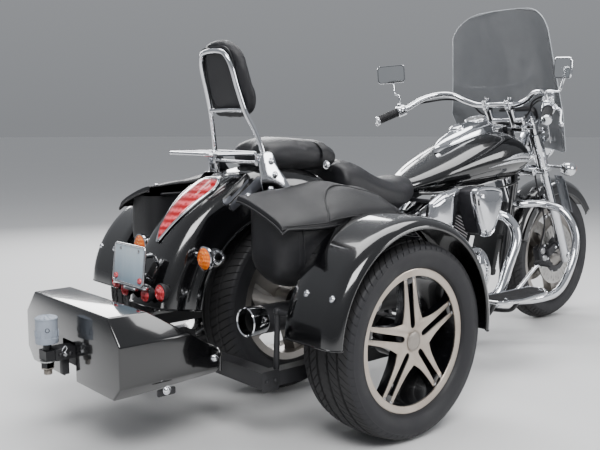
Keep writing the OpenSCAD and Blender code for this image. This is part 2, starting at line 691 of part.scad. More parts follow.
front_guard_r = 358;
front_guard_boss = 300;
module front_mudguard() color("#101014") steer_frame() {
    rotate([0, rake, 0]) translate([15, 0, 10]) cross_sweep(36, 165)
        polygon([[front_guard_r - 70, -76], [front_guard_r - 24, -76], [front_guard_r, -46],
            [front_guard_r, 46], [front_guard_r - 24, 76], [front_guard_r - 70, 76],
            [front_guard_r - 70, 72], [front_guard_r - 26, 72], [front_guard_r - 4, 44],
            [front_guard_r - 4, -44], [front_guard_r - 26, -72], [front_guard_r - 70, -72]]);
    both() rod([0, 74, front_guard_boss], [0, half_spread - 21 - seat_gap, front_guard_boss], 12);
}

module front_turn_signals() color("#e07010") steer_frame() both() {
    translate([10, 232, 470]) rotate([0, rake - 90, 0]) cylinder(h = 60, r1 = 30, r2 = 34, center = true);
    rod([0, half_spread + 33 + seat_gap, 485], [0, 222, 485], 8);
}

// ---- Wheels ----

module front_rim() color("#b0b0b4") translate([wheelbase, 0, front_tyre_r]) {
    rim(front_rim_r, front_tyre_w, axle_r + running, 40, 90, 5, 22, 44, 34);
    both() translate([0, disc_y, 0]) rotate([90, 0, 0]) difference() {
        cylinder(h = 5, r = disc_r, center = true);
        cylinder(h = 8, r = 75, center = true);
    }
    both() translate([0, disc_y - 10, 0]) rotate([90, 0, 0]) difference() {
        cylinder(h = 24, r = 78, center = true);
        cylinder(h = 30, r = axle_r + running, center = true);
    }
}
module front_tyre() color("#141416") translate([wheelbase, 0, front_tyre_r])
    tyre(front_tyre_r, front_tyre_w, front_rim_r);

module drive_rim() color("#b0b0b4") translate([0, 0, drive_tyre_r])
    rim(drive_rim_r, drive_tyre_w, axle_r + running, 60, 190, 5, 30, 60, 44);
module drive_tyre() color("#141416") translate([0, 0, drive_tyre_r])
    tyre(drive_tyre_r, drive_tyre_w, drive_rim_r);

module kit_rim() translate([-kit_axle_back, kit_half, kit_tyre_r]) mirror([0, 1, 0])
    rim(kit_rim_r, kit_tyre_w, spindle_r + running, 58, 88, 5, 66, 30, 46);
module kit_tyre() translate([-kit_axle_back, kit_half, kit_tyre_r]) tyre(kit_tyre_r, kit_tyre_w, kit_rim_r);
module left_rim() color("#8c8478") kit_rim();
module right_rim() color("#8c8478") mirror([0, 1, 0]) kit_rim();
module left_tyre() color("#141416") kit_tyre();
module right_tyre() color("#141416") mirror([0, 1, 0]) kit_tyre();

// ---- What is drawn ----

place() frame_spine();
place() frame_cradle();
place() engine();
place() cylinders();
place() air_cleaner();
place() radiator();
place() exhaust();
place() fuel_tank();
place() tank_console();
place() rider_seat();
place() passenger_seat();
place() side_covers();
place() rear_mudguard();
place() tail_lamp();
place() number_plate();
place() rear_lamps();
place() swingarm();
place() rear_shocks();
place() backrest_bar();
place() backrest_pad();
place() luggage_rack();
place() left_saddlebag();
place() right_saddlebag();
place() left_bag_lid();
place() right_bag_lid();
place() left_outboard_mudguard();
place() right_outboard_mudguard();
place() outrigger_beams();
place() outrigger_arms();
place() tow_cover();
place() tow_bar();
place() tow_ball_cap();
place() engine_guards();
place() floorboards();
place() foot_controls();
place() fork();
place() brake_calipers();
place() handlebar();
place() hand_controls();
place() mirrors();
place() windshield();
place() headlight();
place() front_mudguard();
place() front_turn_signals();
place() front_rim();
place() front_tyre();
place() drive_rim();
place() drive_tyre();
place() left_rim();
place() left_tyre();
place() right_rim();
place() right_tyre();
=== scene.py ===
from math import asin, cos, hypot, pi, radians, sin, sqrt

import bpy
import bmesh
from mathutils import Matrix, Vector


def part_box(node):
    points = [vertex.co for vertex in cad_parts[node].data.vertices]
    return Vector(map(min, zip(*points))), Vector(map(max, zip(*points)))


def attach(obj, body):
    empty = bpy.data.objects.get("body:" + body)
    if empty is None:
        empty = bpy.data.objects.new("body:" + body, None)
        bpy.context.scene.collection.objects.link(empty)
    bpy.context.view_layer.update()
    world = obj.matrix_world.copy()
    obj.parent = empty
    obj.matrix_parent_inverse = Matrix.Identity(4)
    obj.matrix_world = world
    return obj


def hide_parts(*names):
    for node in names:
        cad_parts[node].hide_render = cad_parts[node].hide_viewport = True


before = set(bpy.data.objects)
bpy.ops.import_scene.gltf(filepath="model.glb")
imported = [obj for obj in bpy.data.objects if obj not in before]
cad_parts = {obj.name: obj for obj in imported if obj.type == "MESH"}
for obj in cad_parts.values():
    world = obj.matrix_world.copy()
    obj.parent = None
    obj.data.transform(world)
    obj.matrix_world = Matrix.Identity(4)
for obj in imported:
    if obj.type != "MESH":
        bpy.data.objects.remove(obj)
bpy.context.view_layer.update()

# ---- Camera, studio floor and softboxes ----
# A pale sweep of floor under three large softboxes, seen from behind and to the right at the height
# of the handlebar. The pieces below are all placed from the driving axle.
low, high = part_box("drive_tyre")
AXLE_X = (low.x + high.x) / 2


def linear(colour):
    """An sRGB hex colour as the linear colour that the shaders use."""
    parts = [int(colour[i:i + 2], 16) / 255 for i in (0, 2, 4)]
    return [p / 12.92 if p <= 0.04045 else ((p + 0.055) / 1.055) ** 2.4 for p in parts] + [1]


def add(finish, kind, settings=(), **links):
    """Adds a node to a material: its settings, then what is linked to its inputs."""
    part = finish.node_tree.nodes.new(kind)
    for name, value in dict(settings).items():
        if isinstance(name, str) and hasattr(part, name):
            setattr(part, name, value)
        else:
            part.inputs[name].default_value = value
    for name, source in links.items():
        socket = part.inputs[int(name[1:])] if name[0] == "n" else part.inputs[name.replace("_", " ")]
        finish.node_tree.links.new(source, socket)
    return part


def new_finish(name):
    """An empty material with its shader and its place on the piece, ready for its own nodes."""
    finish = bpy.data.materials.new(name)
    finish.use_nodes = True
    shader = finish.node_tree.nodes["Principled BSDF"]
    place = add(finish, "ShaderNodeTexCoord").outputs["Object"]
    return finish, shader, place


def blended(finish, factor, dark, light):
    """Two colours blended by a factor."""
    mix = add(finish, "ShaderNodeMix", {"data_type": "RGBA", 6: linear(dark), 7: linear(light)}, n0=factor)
    return mix.outputs[2]


def ranged(finish, value, low_value, high_value, start=0.0, end=1.0):
    """A value stretched to run from low_value to high_value."""
    part = add(finish, "ShaderNodeMapRange", {"From Min": start, "From Max": end, "To Min": low_value,
        "To Max": high_value}, Value=value)
    return part.outputs[0]


def surface(name, dark, light, rough, metal=0.0, patch=0.05, grain=0.002, bump=0.15, coat=0.0, ior=1.5):
    """A finish with a soft mottle (patch, metres across) in colour and gloss, and a fine grain in its surface."""
    finish, shader, place = new_finish(name)
    mottle = add(finish, "ShaderNodeTexNoise", {"Scale": 1 / patch, "Detail": 5.0, "Roughness": 0.6},
        Vector=place)
    fine = add(finish, "ShaderNodeTexNoise", {"Scale": 1 / grain, "Detail": 3.0}, Vector=place)
    relief = add(finish, "ShaderNodeBump", {"Strength": bump, "Distance": grain * 0.25},
        Height=fine.outputs[0])
    wire = finish.node_tree.links.new
    wire(blended(finish, mottle.outputs[0], dark, light), shader.inputs["Base Color"])
    wire(ranged(finish, mottle.outputs[0], rough[0], rough[1], 0.3, 0.7), shader.inputs["Roughness"])
    wire(relief.outputs[0], shader.inputs["Normal"])
    shader.inputs["Metallic"].default_value = metal
    if coat:
        shader.inputs["Coat Weight"].default_value = coat
        shader.inputs["Coat Roughness"].default_value = 0.03
    if not metal:
        shader.inputs["IOR"].default_value = ior
    return finish


camera = bpy.data.objects.new("camera", bpy.data.cameras.new("camera"))
camera.data.lens = 49.5
camera.location = (AXLE_X - 1.873, -2.261, 0.954)
camera.rotation_euler = (radians(90 - 6.99), 0, radians(49.05 - 90))
bpy.context.scene.collection.objects.link(camera)
bpy.context.scene.camera = camera

# Seamless studio paper: nearly even, with a faint fibre mottle
paper = surface("studio_paper", "D6D6D6", "DCDCDC", (0.8, 0.9), patch=1.6, grain=0.004, bump=0.05)
sweep = bpy.data.meshes.new("floor")
sweep.from_pydata([(60 * cos(i * pi / 32), 60 * sin(i * pi / 32), -0.0005) for i in range(64)], [],
    [range(64)])
sweep.materials.append(paper)
floor = bpy.data.objects.new("floor", sweep)
bpy.context.scene.collection.objects.link(floor)

# Name, place, size, power and the point that each softbox faces
softboxes = [("key_box", (-2.6, -2.8, 3.6), (2.6, 1.6), 210, (0.0, 0.0, 0.5)),
    ("top_box", (0.4, 0.4, 4.2), (4.6, 2.2), 190, (0.0, 0.0, 0.6)),
    ("rim_box", (1.4, 3.8, 2.4), (3.2, 1.4), 150, (0.0, 0.0, 0.6)),
    ("side_box", (2.6, -4.2, 1.8), (2.4, 1.6), 90, (0.6, 0.0, 0.5))]
for name, place, size, power, target in softboxes:
    lamp = bpy.data.lights.new(name, "AREA")
    lamp.shape, lamp.size, lamp.size_y, lamp.energy = "RECTANGLE", size[0], size[1], power
    box = bpy.data.objects.new(name, lamp)
    box.location = place
    box.rotation_euler = (Vector(target) - Vector(place)).to_track_quat("-Z", "Y").to_euler()
    bpy.context.scene.collection.objects.link(box)
# A pale room: its wall meets the floor in the floor's own tone, and it brightens overhead
world = bpy.data.worlds.new("studio")
world.use_nodes = True
direction = add(world, "ShaderNodeTexCoord").outputs["Generated"]
height = add(world, "ShaderNodeSeparateXYZ", Vector=direction).outputs["Z"]
wall = ranged(world, height, 0.435, 0.7, 0.0, 0.5)
world.node_tree.nodes["Background"].inputs["Color"].default_value = linear("C9CCD1")
world.node_tree.links.new(wall, world.node_tree.nodes["Background"].inputs["Strength"])
bpy.context.scene.world = world

# ---- Frame: backbone, steering head, seat rails and the two side cradles ----
# Steel tube, bent and welded, then dipped and sprayed in black enamel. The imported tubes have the
# right shape, so they stay and take the enamel.
# Black enamel over weld-smooth tube: deep gloss, softened by road film
enamel = surface("black_enamel", "0C0C0F", "15151A", (0.22, 0.42), patch=0.08, grain=0.0015, bump=0.1,
    coat=0.3)


def refinish(finish, *names):
    """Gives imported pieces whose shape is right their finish."""
    for name in names:
        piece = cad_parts[name]
        piece.data.materials.clear()
        piece.data.materials.append(finish)


refinish(enamel, "frame_spine", "frame_cradle")


def make(name, parts, body, replaces=(), angle=32, smooth=0):
    """One piece from (shape, finish) parts, its faces turned outward and its hard edges kept sharp."""
    form, finishes = bmesh.new(), []
    for (points, faces), finish in parts:
        if finish not in finishes:
            finishes.append(finish)
        corners = [form.verts.new((p[0] + AXLE_X, p[1], p[2])) for p in points]
        for face in faces:
            try:
                form.faces.new([corners[i] for i in face]).material_index = finishes.index(finish)
            except ValueError:
                continue
    bmesh.ops.remove_doubles(form, verts=form.verts, dist=2e-6)
    bmesh.ops.recalc_face_normals(form, faces=form.faces)
    mesh = bpy.data.meshes.new(name)
    form.to_mesh(mesh)
    form.free()
    for finish in finishes:
        mesh.materials.append(finish)
    piece = bpy.data.objects.new(name, mesh)
    bpy.context.scene.collection.objects.link(piece)
    if smooth:
        sub = piece.modifiers.new("smooth", "SUBSURF")
        sub.levels = sub.render_levels = smooth
    mesh.shade_smooth()
    if not smooth:
        mesh.set_sharp_from_angle(angle=radians(angle))
    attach(piece, body)
    if replaces:
        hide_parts(*([replaces] if isinstance(replaces, str) else replaces))
    return piece


def joined(*shapes):
    """Several shapes as one."""
    points, faces = [], []
    for more_points, more_faces in shapes:
        start = len(points)
        points += [tuple(p) for p in more_points]
        faces += [tuple(i + start for i in face) for face in more_faces]
    return points, faces


def mirrored(shape):
    """The same shape on the other side of the vehicle."""
    return [(x, -y, z) for x, y, z in shape[0]], [tuple(reversed(face)) for face in shape[1]]


def both(shape):
    """A shape and its mirror image."""
    return joined(shape, mirrored(shape))


def moved(shape, matrix):
    """A shape put through a matrix."""
    return [tuple(matrix @ Vector(p)) for p in shape[0]], shape[1]


def netted(rows, loop=True, caps=True):
    """A skin over rows of points: each row a ring (or an open strip), with its ends closed."""
    count, points = len(rows[0]), [tuple(p) for row in rows for p in row]
    faces = [(i * count + j, i * count + (j + 1) % count, (i + 1) * count + (j + 1) % count,
        (i + 1) * count + j) for i in range(len(rows) - 1) for j in range(count if loop else count - 1)]
    if caps and loop:
        faces += [tuple(range(count)), tuple(range(len(points) - 1, len(points) - count - 1, -1))]
    return points, faces


def turned(profile, start=(0, 0, 0), axis=(0, 0, 1), segments=40, closed=False):
    """A shape turned on a lathe: rows of (radius, height along the axis)."""
    turn = Vector((0, 0, 1)).rotation_difference(Vector(axis)).to_matrix()
    rows = [[Vector(start) + turn @ Vector((r * cos(2 * pi * j / segments), r * sin(2 * pi * j / segments),
        h)) for j in range(segments)] for r, h in profile]
    if closed:
        rows.append(rows[0])
    return netted(rows, caps=False)


def eased(path, steps=6):
    """A run of points with its corners eased into one smooth curve."""
    p = [Vector(q) for q in path]
    if len(p) < 3 or steps < 2:
        return p
    p = [2 * p[0] - p[1]] + p + [2 * p[-1] - p[-2]]
    curve = []
    for i in range(1, len(p) - 2):
        for k in range(steps):
            t = k / steps
            curve.append(0.5 * (2 * p[i] + t * (p[i + 1] - p[i - 1]) + t * t * (2 * p[i - 1] - 5 * p[i]
                + 4 * p[i + 1] - p[i + 2]) + t ** 3 * (3 * p[i] - p[i - 1] - 3 * p[i + 1] + p[i + 2])))
    return curve + [p[-2]]


def pipe(path, radius, sides=14, steps=6, closed=False):
    """A bent bar or tube of round section along a path; radius is one number or one for each point of the path."""
    curve = eased(path, steps)
    span = (len(curve) - 1) / (len(path) - 1)
    rows, up = [], None
    for i, centre in enumerate(curve):
        ahead = (curve[min(i + 1, len(curve) - 1)] - curve[max(i - 1, 0)]).normalized()
        if up is None:
            up = ahead.orthogonal().normalized()
        up = (up - ahead * up.dot(ahead)).normalized()
        side = ahead.cross(up)
        if isinstance(radius, (int, float)):
            r = radius
        else:
            k = min(int(i / span), len(radius) - 2)
            r = radius[k] + (radius[k + 1] - radius[k]) * min(1, i / span - k)
        rows.append([centre + r * (cos(2 * pi * j / sides) * up + sin(2 * pi * j / sides) * side)
            for j in range(sides)])
    return netted(rows)


def bevelled(form, width, steps=2, angle=25):
    """Rounds the hard edges of a form being built, and returns it as a shape."""
    edges = [e for e in form.edges if e.is_manifold and e.calc_face_angle() > radians(angle)]
    if width > 0:
        bmesh.ops.bevel(form, geom=edges, offset=width, segments=steps, profile=0.5, affect="EDGES",
            clamp_overlap=True)
    form.verts.index_update()
    shape = [tuple(v.co) for v in form.verts], [tuple(v.index for v in f.verts) for f in form.faces]
    form.free()
    return shape


def block(centre, size, width=0.003, turn=(0, 0, 0), steps=2):
    """A milled or moulded block with rounded edges, turned by degrees about X, Y and Z."""
    form = bmesh.new()
    bmesh.ops.create_cube(form, size=1)
    for v in form.verts:
        v.co = Vector((v.co.x * size[0], v.co.y * size[1], v.co.z * size[2]))
    shape = bevelled(form, width, steps)
    x, y, z = (Matrix.Rotation(radians(a), 4, axis) for a, axis in zip(turn, "XYZ"))
    return moved(shape, Matrix.Translation(centre) @ z @ y @ x)


def slab(outline, thickness, lay, width=0.0015, steps=2):
    """A plate cut to an outline, its rim rounded; lay puts (across, up, depth) in place."""
    form = bmesh.new()
    face = form.faces.new([form.verts.new((u, v, 0)) for u, v in outline])
    raised = bmesh.ops.extrude_face_region(form, geom=[face])["geom"]
    for v in raised:
        if isinstance(v, bmesh.types.BMVert):
            v.co.z = thickness
    bmesh.ops.recalc_face_normals(form, faces=form.faces)
    points, faces = bevelled(form, width, steps, 50)
    return [tuple(lay(*p)) for p in points], faces


def side_on(y, side=1):
    """Lays a plate upright along the vehicle, its depth running outward from y."""
    return lambda u, v, w: (u, side * (y + w), v)


def rounded(outline, radius, steps=4):
    """An outline with its corners rounded; radius is one number or one for each corner."""
    curve, count = [], len(outline)
    for i in range(count):
        a, b, c = (Vector(outline[(i + k) % count]) for k in (-1, 0, 1))
        r = radius if isinstance(radius, (int, float)) else radius[i]
        r = min(r, (a - b).length * 0.48, (c - b).length * 0.48)
        start, end = b + (a - b).normalized() * r, b + (c - b).normalized() * r
        for k in range(steps + 1 if r > 0 else 1):
            t = k / steps
            curve.append(tuple((1 - t) ** 2 * start + 2 * t * (1 - t) * b + t * t * end))
    return curve

# ---- Engine: crankcase, two finned barrels, heads and covers ----
# Aluminium castings under satin black paint, with the edges of the fins milled back to bare metal and
# pressed steel covers in chrome. The barrels lean 26 degrees each way from the crankshaft.
# Cast black: sand-cast grain under satin paint
casting = surface("cast_black", "17171B", "26262B", (0.45, 0.65), patch=0.03, grain=0.0016, bump=0.5)
# Chrome: mirror plating, with the faint ripple of hand-polished steel below it
chrome = surface("chrome_plate", "D6D8DC", "EDEEF1", (0.035, 0.1), metal=1.0, patch=0.06, grain=0.02,
    bump=0.04)
# Milled aluminium: bare cutter marks on the fins' edges
milled = surface("milled_aluminium", "9A9A9C", "C6C6C8", (0.25, 0.4), metal=1.0, patch=0.02, grain=0.001,
    bump=0.2)
refinish(casting, "engine")

# Geometry Nodes: one shape repeated in a row (Step) or round an axle (Turn)
repeat_tree = bpy.data.node_groups.new("repeat", "GeometryNodeTree")
socket_of = {}
for name, kind in [("Shape", "Geometry"), ("Count", "Int"), ("Step", "Vector"), ("Turn", "Vector"),
        ("Centre", "Vector"), ("Finish", "Material")]:
    socket_of[name] = repeat_tree.interface.new_socket(name, in_out="INPUT", socket_type="NodeSocket" + kind)
repeat_tree.interface.new_socket("Shape", in_out="OUTPUT", socket_type="NodeSocketGeometry")
given = repeat_tree.nodes.new("NodeGroupInput")
result = repeat_tree.nodes.new("NodeGroupOutput")
steps = {}
for name, kind in [("index", "GeometryNodeInputIndex"), ("along", "ShaderNodeVectorMath"),
        ("round", "ShaderNodeVectorMath"), ("points", "GeometryNodePoints"),
        ("copies", "GeometryNodeInstanceOnPoints"), ("shift", "GeometryNodeTransform"),
        ("real", "GeometryNodeRealizeInstances"), ("paint", "GeometryNodeSetMaterial")]:
    steps[name] = repeat_tree.nodes.new(kind)
steps["along"].operation = steps["round"].operation = "SCALE"
for source, target in [((given, "Step"), ("along", "Vector")), ((given, "Turn"), ("round", "Vector")),
        (("index", 0), ("along", "Scale")), (("index", 0), ("round", "Scale")),
        ((given, "Count"), ("points", "Count")), (("along", 0), ("points", "Position")),
        (("points", 0), ("copies", "Points")), ((given, "Shape"), ("copies", "Instance")),
        (("round", 0), ("copies", "Rotation")), (("copies", 0), ("shift", "Geometry")),
        ((given, "Centre"), ("shift", "Translation")), (("shift", 0), ("real", "Geometry")),
        (("real", 0), ("paint", "Geometry")), ((given, "Finish"), ("paint", "Material"))]:
    from_part = steps[source[0]] if isinstance(source[0], str) else source[0]
    repeat_tree.links.new(from_part.outputs[source[1]], steps[target[0]].inputs[target[1]])
repeat_tree.links.new(steps["paint"].outputs[0], result.inputs[0])


def repeated(shape, finish, count, step=(0, 0, 0), turn=(0, 0, 0), centre=(0, 0, 0)):
    """A shape repeated in a row by step, or turned by turn (degrees) each time and then put at centre."""
    mesh = bpy.data.meshes.new("one")
    mesh.from_pydata([tuple(p) for p in shape[0]], [], shape[1])
    holder = bpy.data.objects.new("one", mesh)
    bpy.context.scene.collection.objects.link(holder)
    nodes = holder.modifiers.new("repeat", "NODES")
    nodes.node_group = repeat_tree
    for name, value in [("Count", count), ("Step", step), ("Turn", tuple(radians(a) for a in turn)),
            ("Centre", centre), ("Finish", finish)]:
        nodes[socket_of[name].identifier] = value
    bpy.context.view_layer.update()
    made = bpy.data.meshes.new_from_object(holder.evaluated_get(bpy.context.evaluated_depsgraph_get()))
    shape = [tuple(v.co) for v in made.vertices], [tuple(f.vertices) for f in made.polygons]
    bpy.data.objects.remove(holder)
    return shape


def ring_of(outline, height, inset=0.0):
    """An outline in the plane as a row of points at a height, drawn in by inset towards the middle."""
    return [(u * (1 - inset), v * (1 - inset), height) for u, v in outline]


crank = Vector((0.83, 0, 0.33))
fin_outline = rounded([(0.078, 0.08), (-0.078, 0.08), (-0.078, -0.08), (0.078, -0.08)], 0.03, 5)
fin_faces = netted([ring_of(fin_outline, 0, 0.45), ring_of(fin_outline, 0, 0.02)], caps=False)
fin_top = netted([ring_of(fin_outline, 0.004, 0.02), ring_of(fin_outline, 0.0045, 0.45)], caps=False)
fin_edge = netted([ring_of(fin_outline, 0, 0.02), ring_of(fin_outline, 0.0006), ring_of(fin_outline, 0.0034),
    ring_of(fin_outline, 0.004, 0.02)], caps=False)
for name, lean in (("front", 26), ("rear", -26)):
    tilt = Matrix.Translation(crank) @ Matrix.Rotation(radians(lean), 4, "Y")
    fins = repeated(joined(fin_faces, fin_top), casting, 9, step=(0, 0, 0.0118), centre=(0, 0, 0.152))
    edges = repeated(fin_edge, milled, 9, step=(0, 0, 0.0118), centre=(0, 0, 0.152))
    sleeve = turned([(0, 0.145), (0.062, 0.145), (0.062, 0.26), (0, 0.26)], segments=48)
    head = joined(block((0, 0, 0.278), (0.158, 0.166, 0.034), 0.012),
        block((0, 0, 0.304), (0.142, 0.15, 0.026), 0.011))
    bolts = repeated(turned([(0, 0), (0.007, 0), (0.007, 0.005), (0.005, 0.008), (0, 0.008)], segments=6),
        chrome, 3, step=(0.052, 0, 0), centre=(-0.052, 0, 0))
    face_bolts = joined(*[moved(bolts, Matrix.Translation((0, s * 0.083, 0.278))
        @ Matrix.Rotation(-s * pi / 2, 4, "X")) for s in (1, -1)])
    make(name + "_barrel", [(moved(fins, tilt), casting), (moved(edges, tilt), milled),
        (moved(sleeve, tilt), casting), (moved(head, tilt), casting), (moved(face_bolts, tilt), chrome)],
        "chassis", "cylinders" if name == "front" else ())


def dome_nut(place, axis, radius=0.008, height=0.009):
    """A domed nut on its washer, standing on a face."""
    rows = [(0, 0), (radius * 1.25, 0), (radius * 1.25, height * 0.15), (radius, height * 0.16),
        (radius * 0.97, height * 0.5)]
    rows += [(radius * 0.95 * cos(a * pi / 12), height * (0.5 + 0.5 * sin(a * pi / 12))) for a in range(1, 6)]
    return turned(rows + [(0, height)], place, axis, 18)


# Clutch cover on the right and alternator cover on the left: pressed, chromed, five screws each
for name, side, at in (("clutch_cover", -1, (0.916, 0.336)), ("alternator_cover", 1, (0.87, 0.33))):
    y = 0.112 if side > 0 else 0.144
    cover = turned([(0, 0), (0.106, 0), (0.108, 0.012), (0.104, 0.02), (0.088, 0.024), (0.082, 0.032),
        (0.078, 0.046), (0.066, 0.054), (0.04, 0.057), (0.036, 0.053), (0, 0.053)], (at[0], side * y, at[1]),
        (0, side, 0), 64)
    nuts = joined(*[dome_nut((at[0] + 0.097 * cos(a), side * (y + 0.021), at[1] + 0.097 * sin(a)),
        (0, side, 0), 0.005, 0.006) for a in (0.3 + k * 2 * pi / 7 for k in range(7))])
    make(name, [(cover, chrome), (nuts, milled)], "chassis")
# Gearbox side casting with its ribs; the starter below the rear barrel is not built here
ribs = repeated(block((0.598, 0, 0.3), (0.007, 0.222, 0.15), 0.002), casting, 6, step=(0.032, 0, 0))
make("gearbox_ribs", [(ribs, casting), (both(slab(rounded([(0.585, 0.225), (0.77, 0.225), (0.79, 0.3),
    (0.74, 0.398), (0.6, 0.398)], 0.03), 0.012, side_on(0.102), 0.004)), casting)], "chassis")
# Rocker covers: chromed caps over the heads; their three screws along the top are not built
for name, lean in (("front", 26), ("rear", -26)):
    tilt = Matrix.Translation(crank) @ Matrix.Rotation(radians(lean), 4, "Y")
    cap = block((0, 0, 0.318), (0.118, 0.158, 0.012), 0.005, steps=3)
    make(name + "_rocker_cover", [(moved(cap, tilt), chrome)], "chassis")

# ---- Radiator ----
# A flat aluminium core, painted black, upright between the down tubes behind a slatted guard.
# Radiator black: thin satin paint over fins
radiator_paint = surface("radiator_black", "0E0E10", "1C1C1F", (0.5, 0.7), patch=0.02, grain=0.0012, bump=0.5)
lean = Matrix.Translation((1.1, 0, 0)) @ Matrix.Rotation(radians(16), 4, "Y")
core = joined(block((0, 0, 0.46), (0.03, 0.128, 0.3), 0.002), block((0, 0, 0.612), (0.044, 0.138, 0.034),
    0.01), block((0, 0, 0.306), (0.044, 0.138, 0.034), 0.01))
slats = repeated(block((0.018, 0, 0.33), (0.004, 0.128, 0.003), 0.001, steps=1), radiator_paint, 27,
    step=(0, 0, 0.01))
make("radiator_core", [(moved(core, lean), radiator_paint), (moved(slats, lean), radiator_paint),
    (both(block((1.222, 0.076, 0.45), (0.026, 0.03, 0.018), 0.003)), radiator_paint)], "chassis", "radiator")

# ---- Air cleaner ----
# A pressed steel shield in chrome over a rubber-sealed housing, wide above and narrow below, held by
# a screw at each shoulder.
shield_outline = [(0.782, 0.694), (0.826, 0.706), (0.905, 0.704), (0.966, 0.69), (0.972, 0.668),
    (0.968, 0.628), (0.944, 0.56), (0.916, 0.508), (0.898, 0.498), (0.868, 0.496), (0.85, 0.506),
    (0.826, 0.556), (0.79, 0.64)]
mid = Vector((0.876, 0.61))


def bellied(outline, depths, middle, side, y):
    """A pressed cover: its outline drawn in towards the middle, step by step, as it rises from y."""
    rows = [[(middle[0] + (u - middle[0]) * k, side * (y + d), middle[1] + (v - middle[1]) * k) for u,
        v in outline] for k, d in depths]
    return netted(rows)


outline = rounded(shield_outline, 0.016, 3)
shell = bellied(outline, [(0.985, 0), (1.0, 0.004), (1.0, 0.014), (0.97, 0.022), (0.9, 0.027), (0.86, 0.0255),
    (0.8, 0.032), (0.62, 0.037), (0.3, 0.04)], mid, -1, 0.232)
housing = bellied(outline, [(0.9, 0), (0.93, 0.01), (0.93, 0.074)], mid, -1, 0.16)
intake = pipe([(0.905, -0.078, 0.6), (0.905, -0.15, 0.6), (0.9, -0.2, 0.602)], 0.03, 20, 2)
screws = joined(*[dome_nut((u, -0.263, v), (0, -1, 0), 0.006, 0.006) for u,
    v in ((0.815, 0.672), (0.938, 0.668), (0.884, 0.522))])
make("air_cleaner_shield", [(shell, chrome), (housing, casting), (intake, casting), (screws, milled)],
    "chassis", "air_cleaner")

# ---- Exhaust: two header pipes, a collector and a long silencer ----
# Chromed steel tube; the silencer is sprayed in heat-proof black and ends in a chromed lip around a
# dark bore.
# Heat-proof black: flat ceramic paint, slightly grey where it is hottest
heat_black = surface("heat_black", "101012", "232326", (0.4, 0.6), patch=0.06, grain=0.001, bump=0.2)
# Soot: dead black and rough; at the silencer's closed bore end it is also painted shade
soot = surface("soot", "050505", "101010", (0.85, 0.95), patch=0.02, grain=0.002, bump=0.4)
header_front = [(0.984, -0.08, 0.578), (0.986, -0.18, 0.578), (1.006, -0.238, 0.572), (1.026, -0.275, 0.53),
    (1.02, -0.292, 0.47), (0.975, -0.29, 0.375), (0.925, -0.284, 0.272), (0.88, -0.262, 0.243),
    (0.82, -0.248, 0.238), (0.76, -0.252, 0.25)]
header_rear = [(0.685, -0.08, 0.582), (0.672, -0.128, 0.578), (0.648, -0.142, 0.545), (0.64, -0.143, 0.47),
    (0.642, -0.146, 0.38), (0.668, -0.18, 0.3), (0.76, -0.25, 0.252)]
collector = [(0.85, -0.246, 0.237), (0.7, -0.262, 0.262), (0.56, -0.303, 0.318), (0.43, -0.322, 0.352)]
flanges = joined(turned([(0, 0), (0.034, 0), (0.034, 0.008), (0.022, 0.012), (0, 0.012)],
    (0.984, -0.082, 0.578), (0, -1, 0)), turned([(0, 0), (0.034, 0), (0.034, 0.008), (0.022, 0.012),
    (0, 0.012)], (0.685, -0.082, 0.582), (0, -1, 0)))
away = (Vector((-0.408, -0.322, 0.362)) - Vector((0.44, -0.322, 0.352))).normalized()
silencer = turned([(0, 0), (0.03, 0), (0.04, 0.02), (0.044, 0.05), (0.044, 0.775), (0.0425, 0.79)],
    (0.44, -0.322, 0.352), away, 56)
lip = turned([(0.0425, 0.788), (0.0445, 0.792), (0.0455, 0.83), (0.0455, 0.846), (0.043, 0.849),
    (0.04, 0.846), (0.038, 0.82)], (0.44, -0.322, 0.352), away, 56)
# The bore is sooty black, and its closed end is painted shade for the dark depth of the pipe beyond it
bore = turned([(0.038, 0.82), (0.036, 0.79), (0.02, 0.786), (0.019, 0.75), (0, 0.75)], (0.44, -0.322, 0.352),
    away, 56)
bands = joined(*[turned([(0.0442, h), (0.0466, h + 0.002), (0.0466, h + 0.014), (0.0442, h + 0.016)],
    (0.44, -0.322, 0.352), away, 56, closed=True) for h in (0.06, 0.3)])
hanger = slab(rounded([(0.3, 0.35), (0.36, 0.35), (0.4, 0.24), (0.37, 0.215), (0.33, 0.24)], 0.012), 0.006,
    side_on(0.268, -1))
make("exhaust_pipes", [(pipe(header_front, 0.021, 20), chrome), (pipe(header_rear, 0.019, 18), chrome),
    (pipe(collector, [0.025, 0.027, 0.033, 0.034], 22), chrome), (flanges, milled)], "chassis", "exhaust")
make("silencer", [(silencer, heat_black), (lip, chrome), (bore, soot), (bands, milled), (hanger, casting)],
    "chassis")

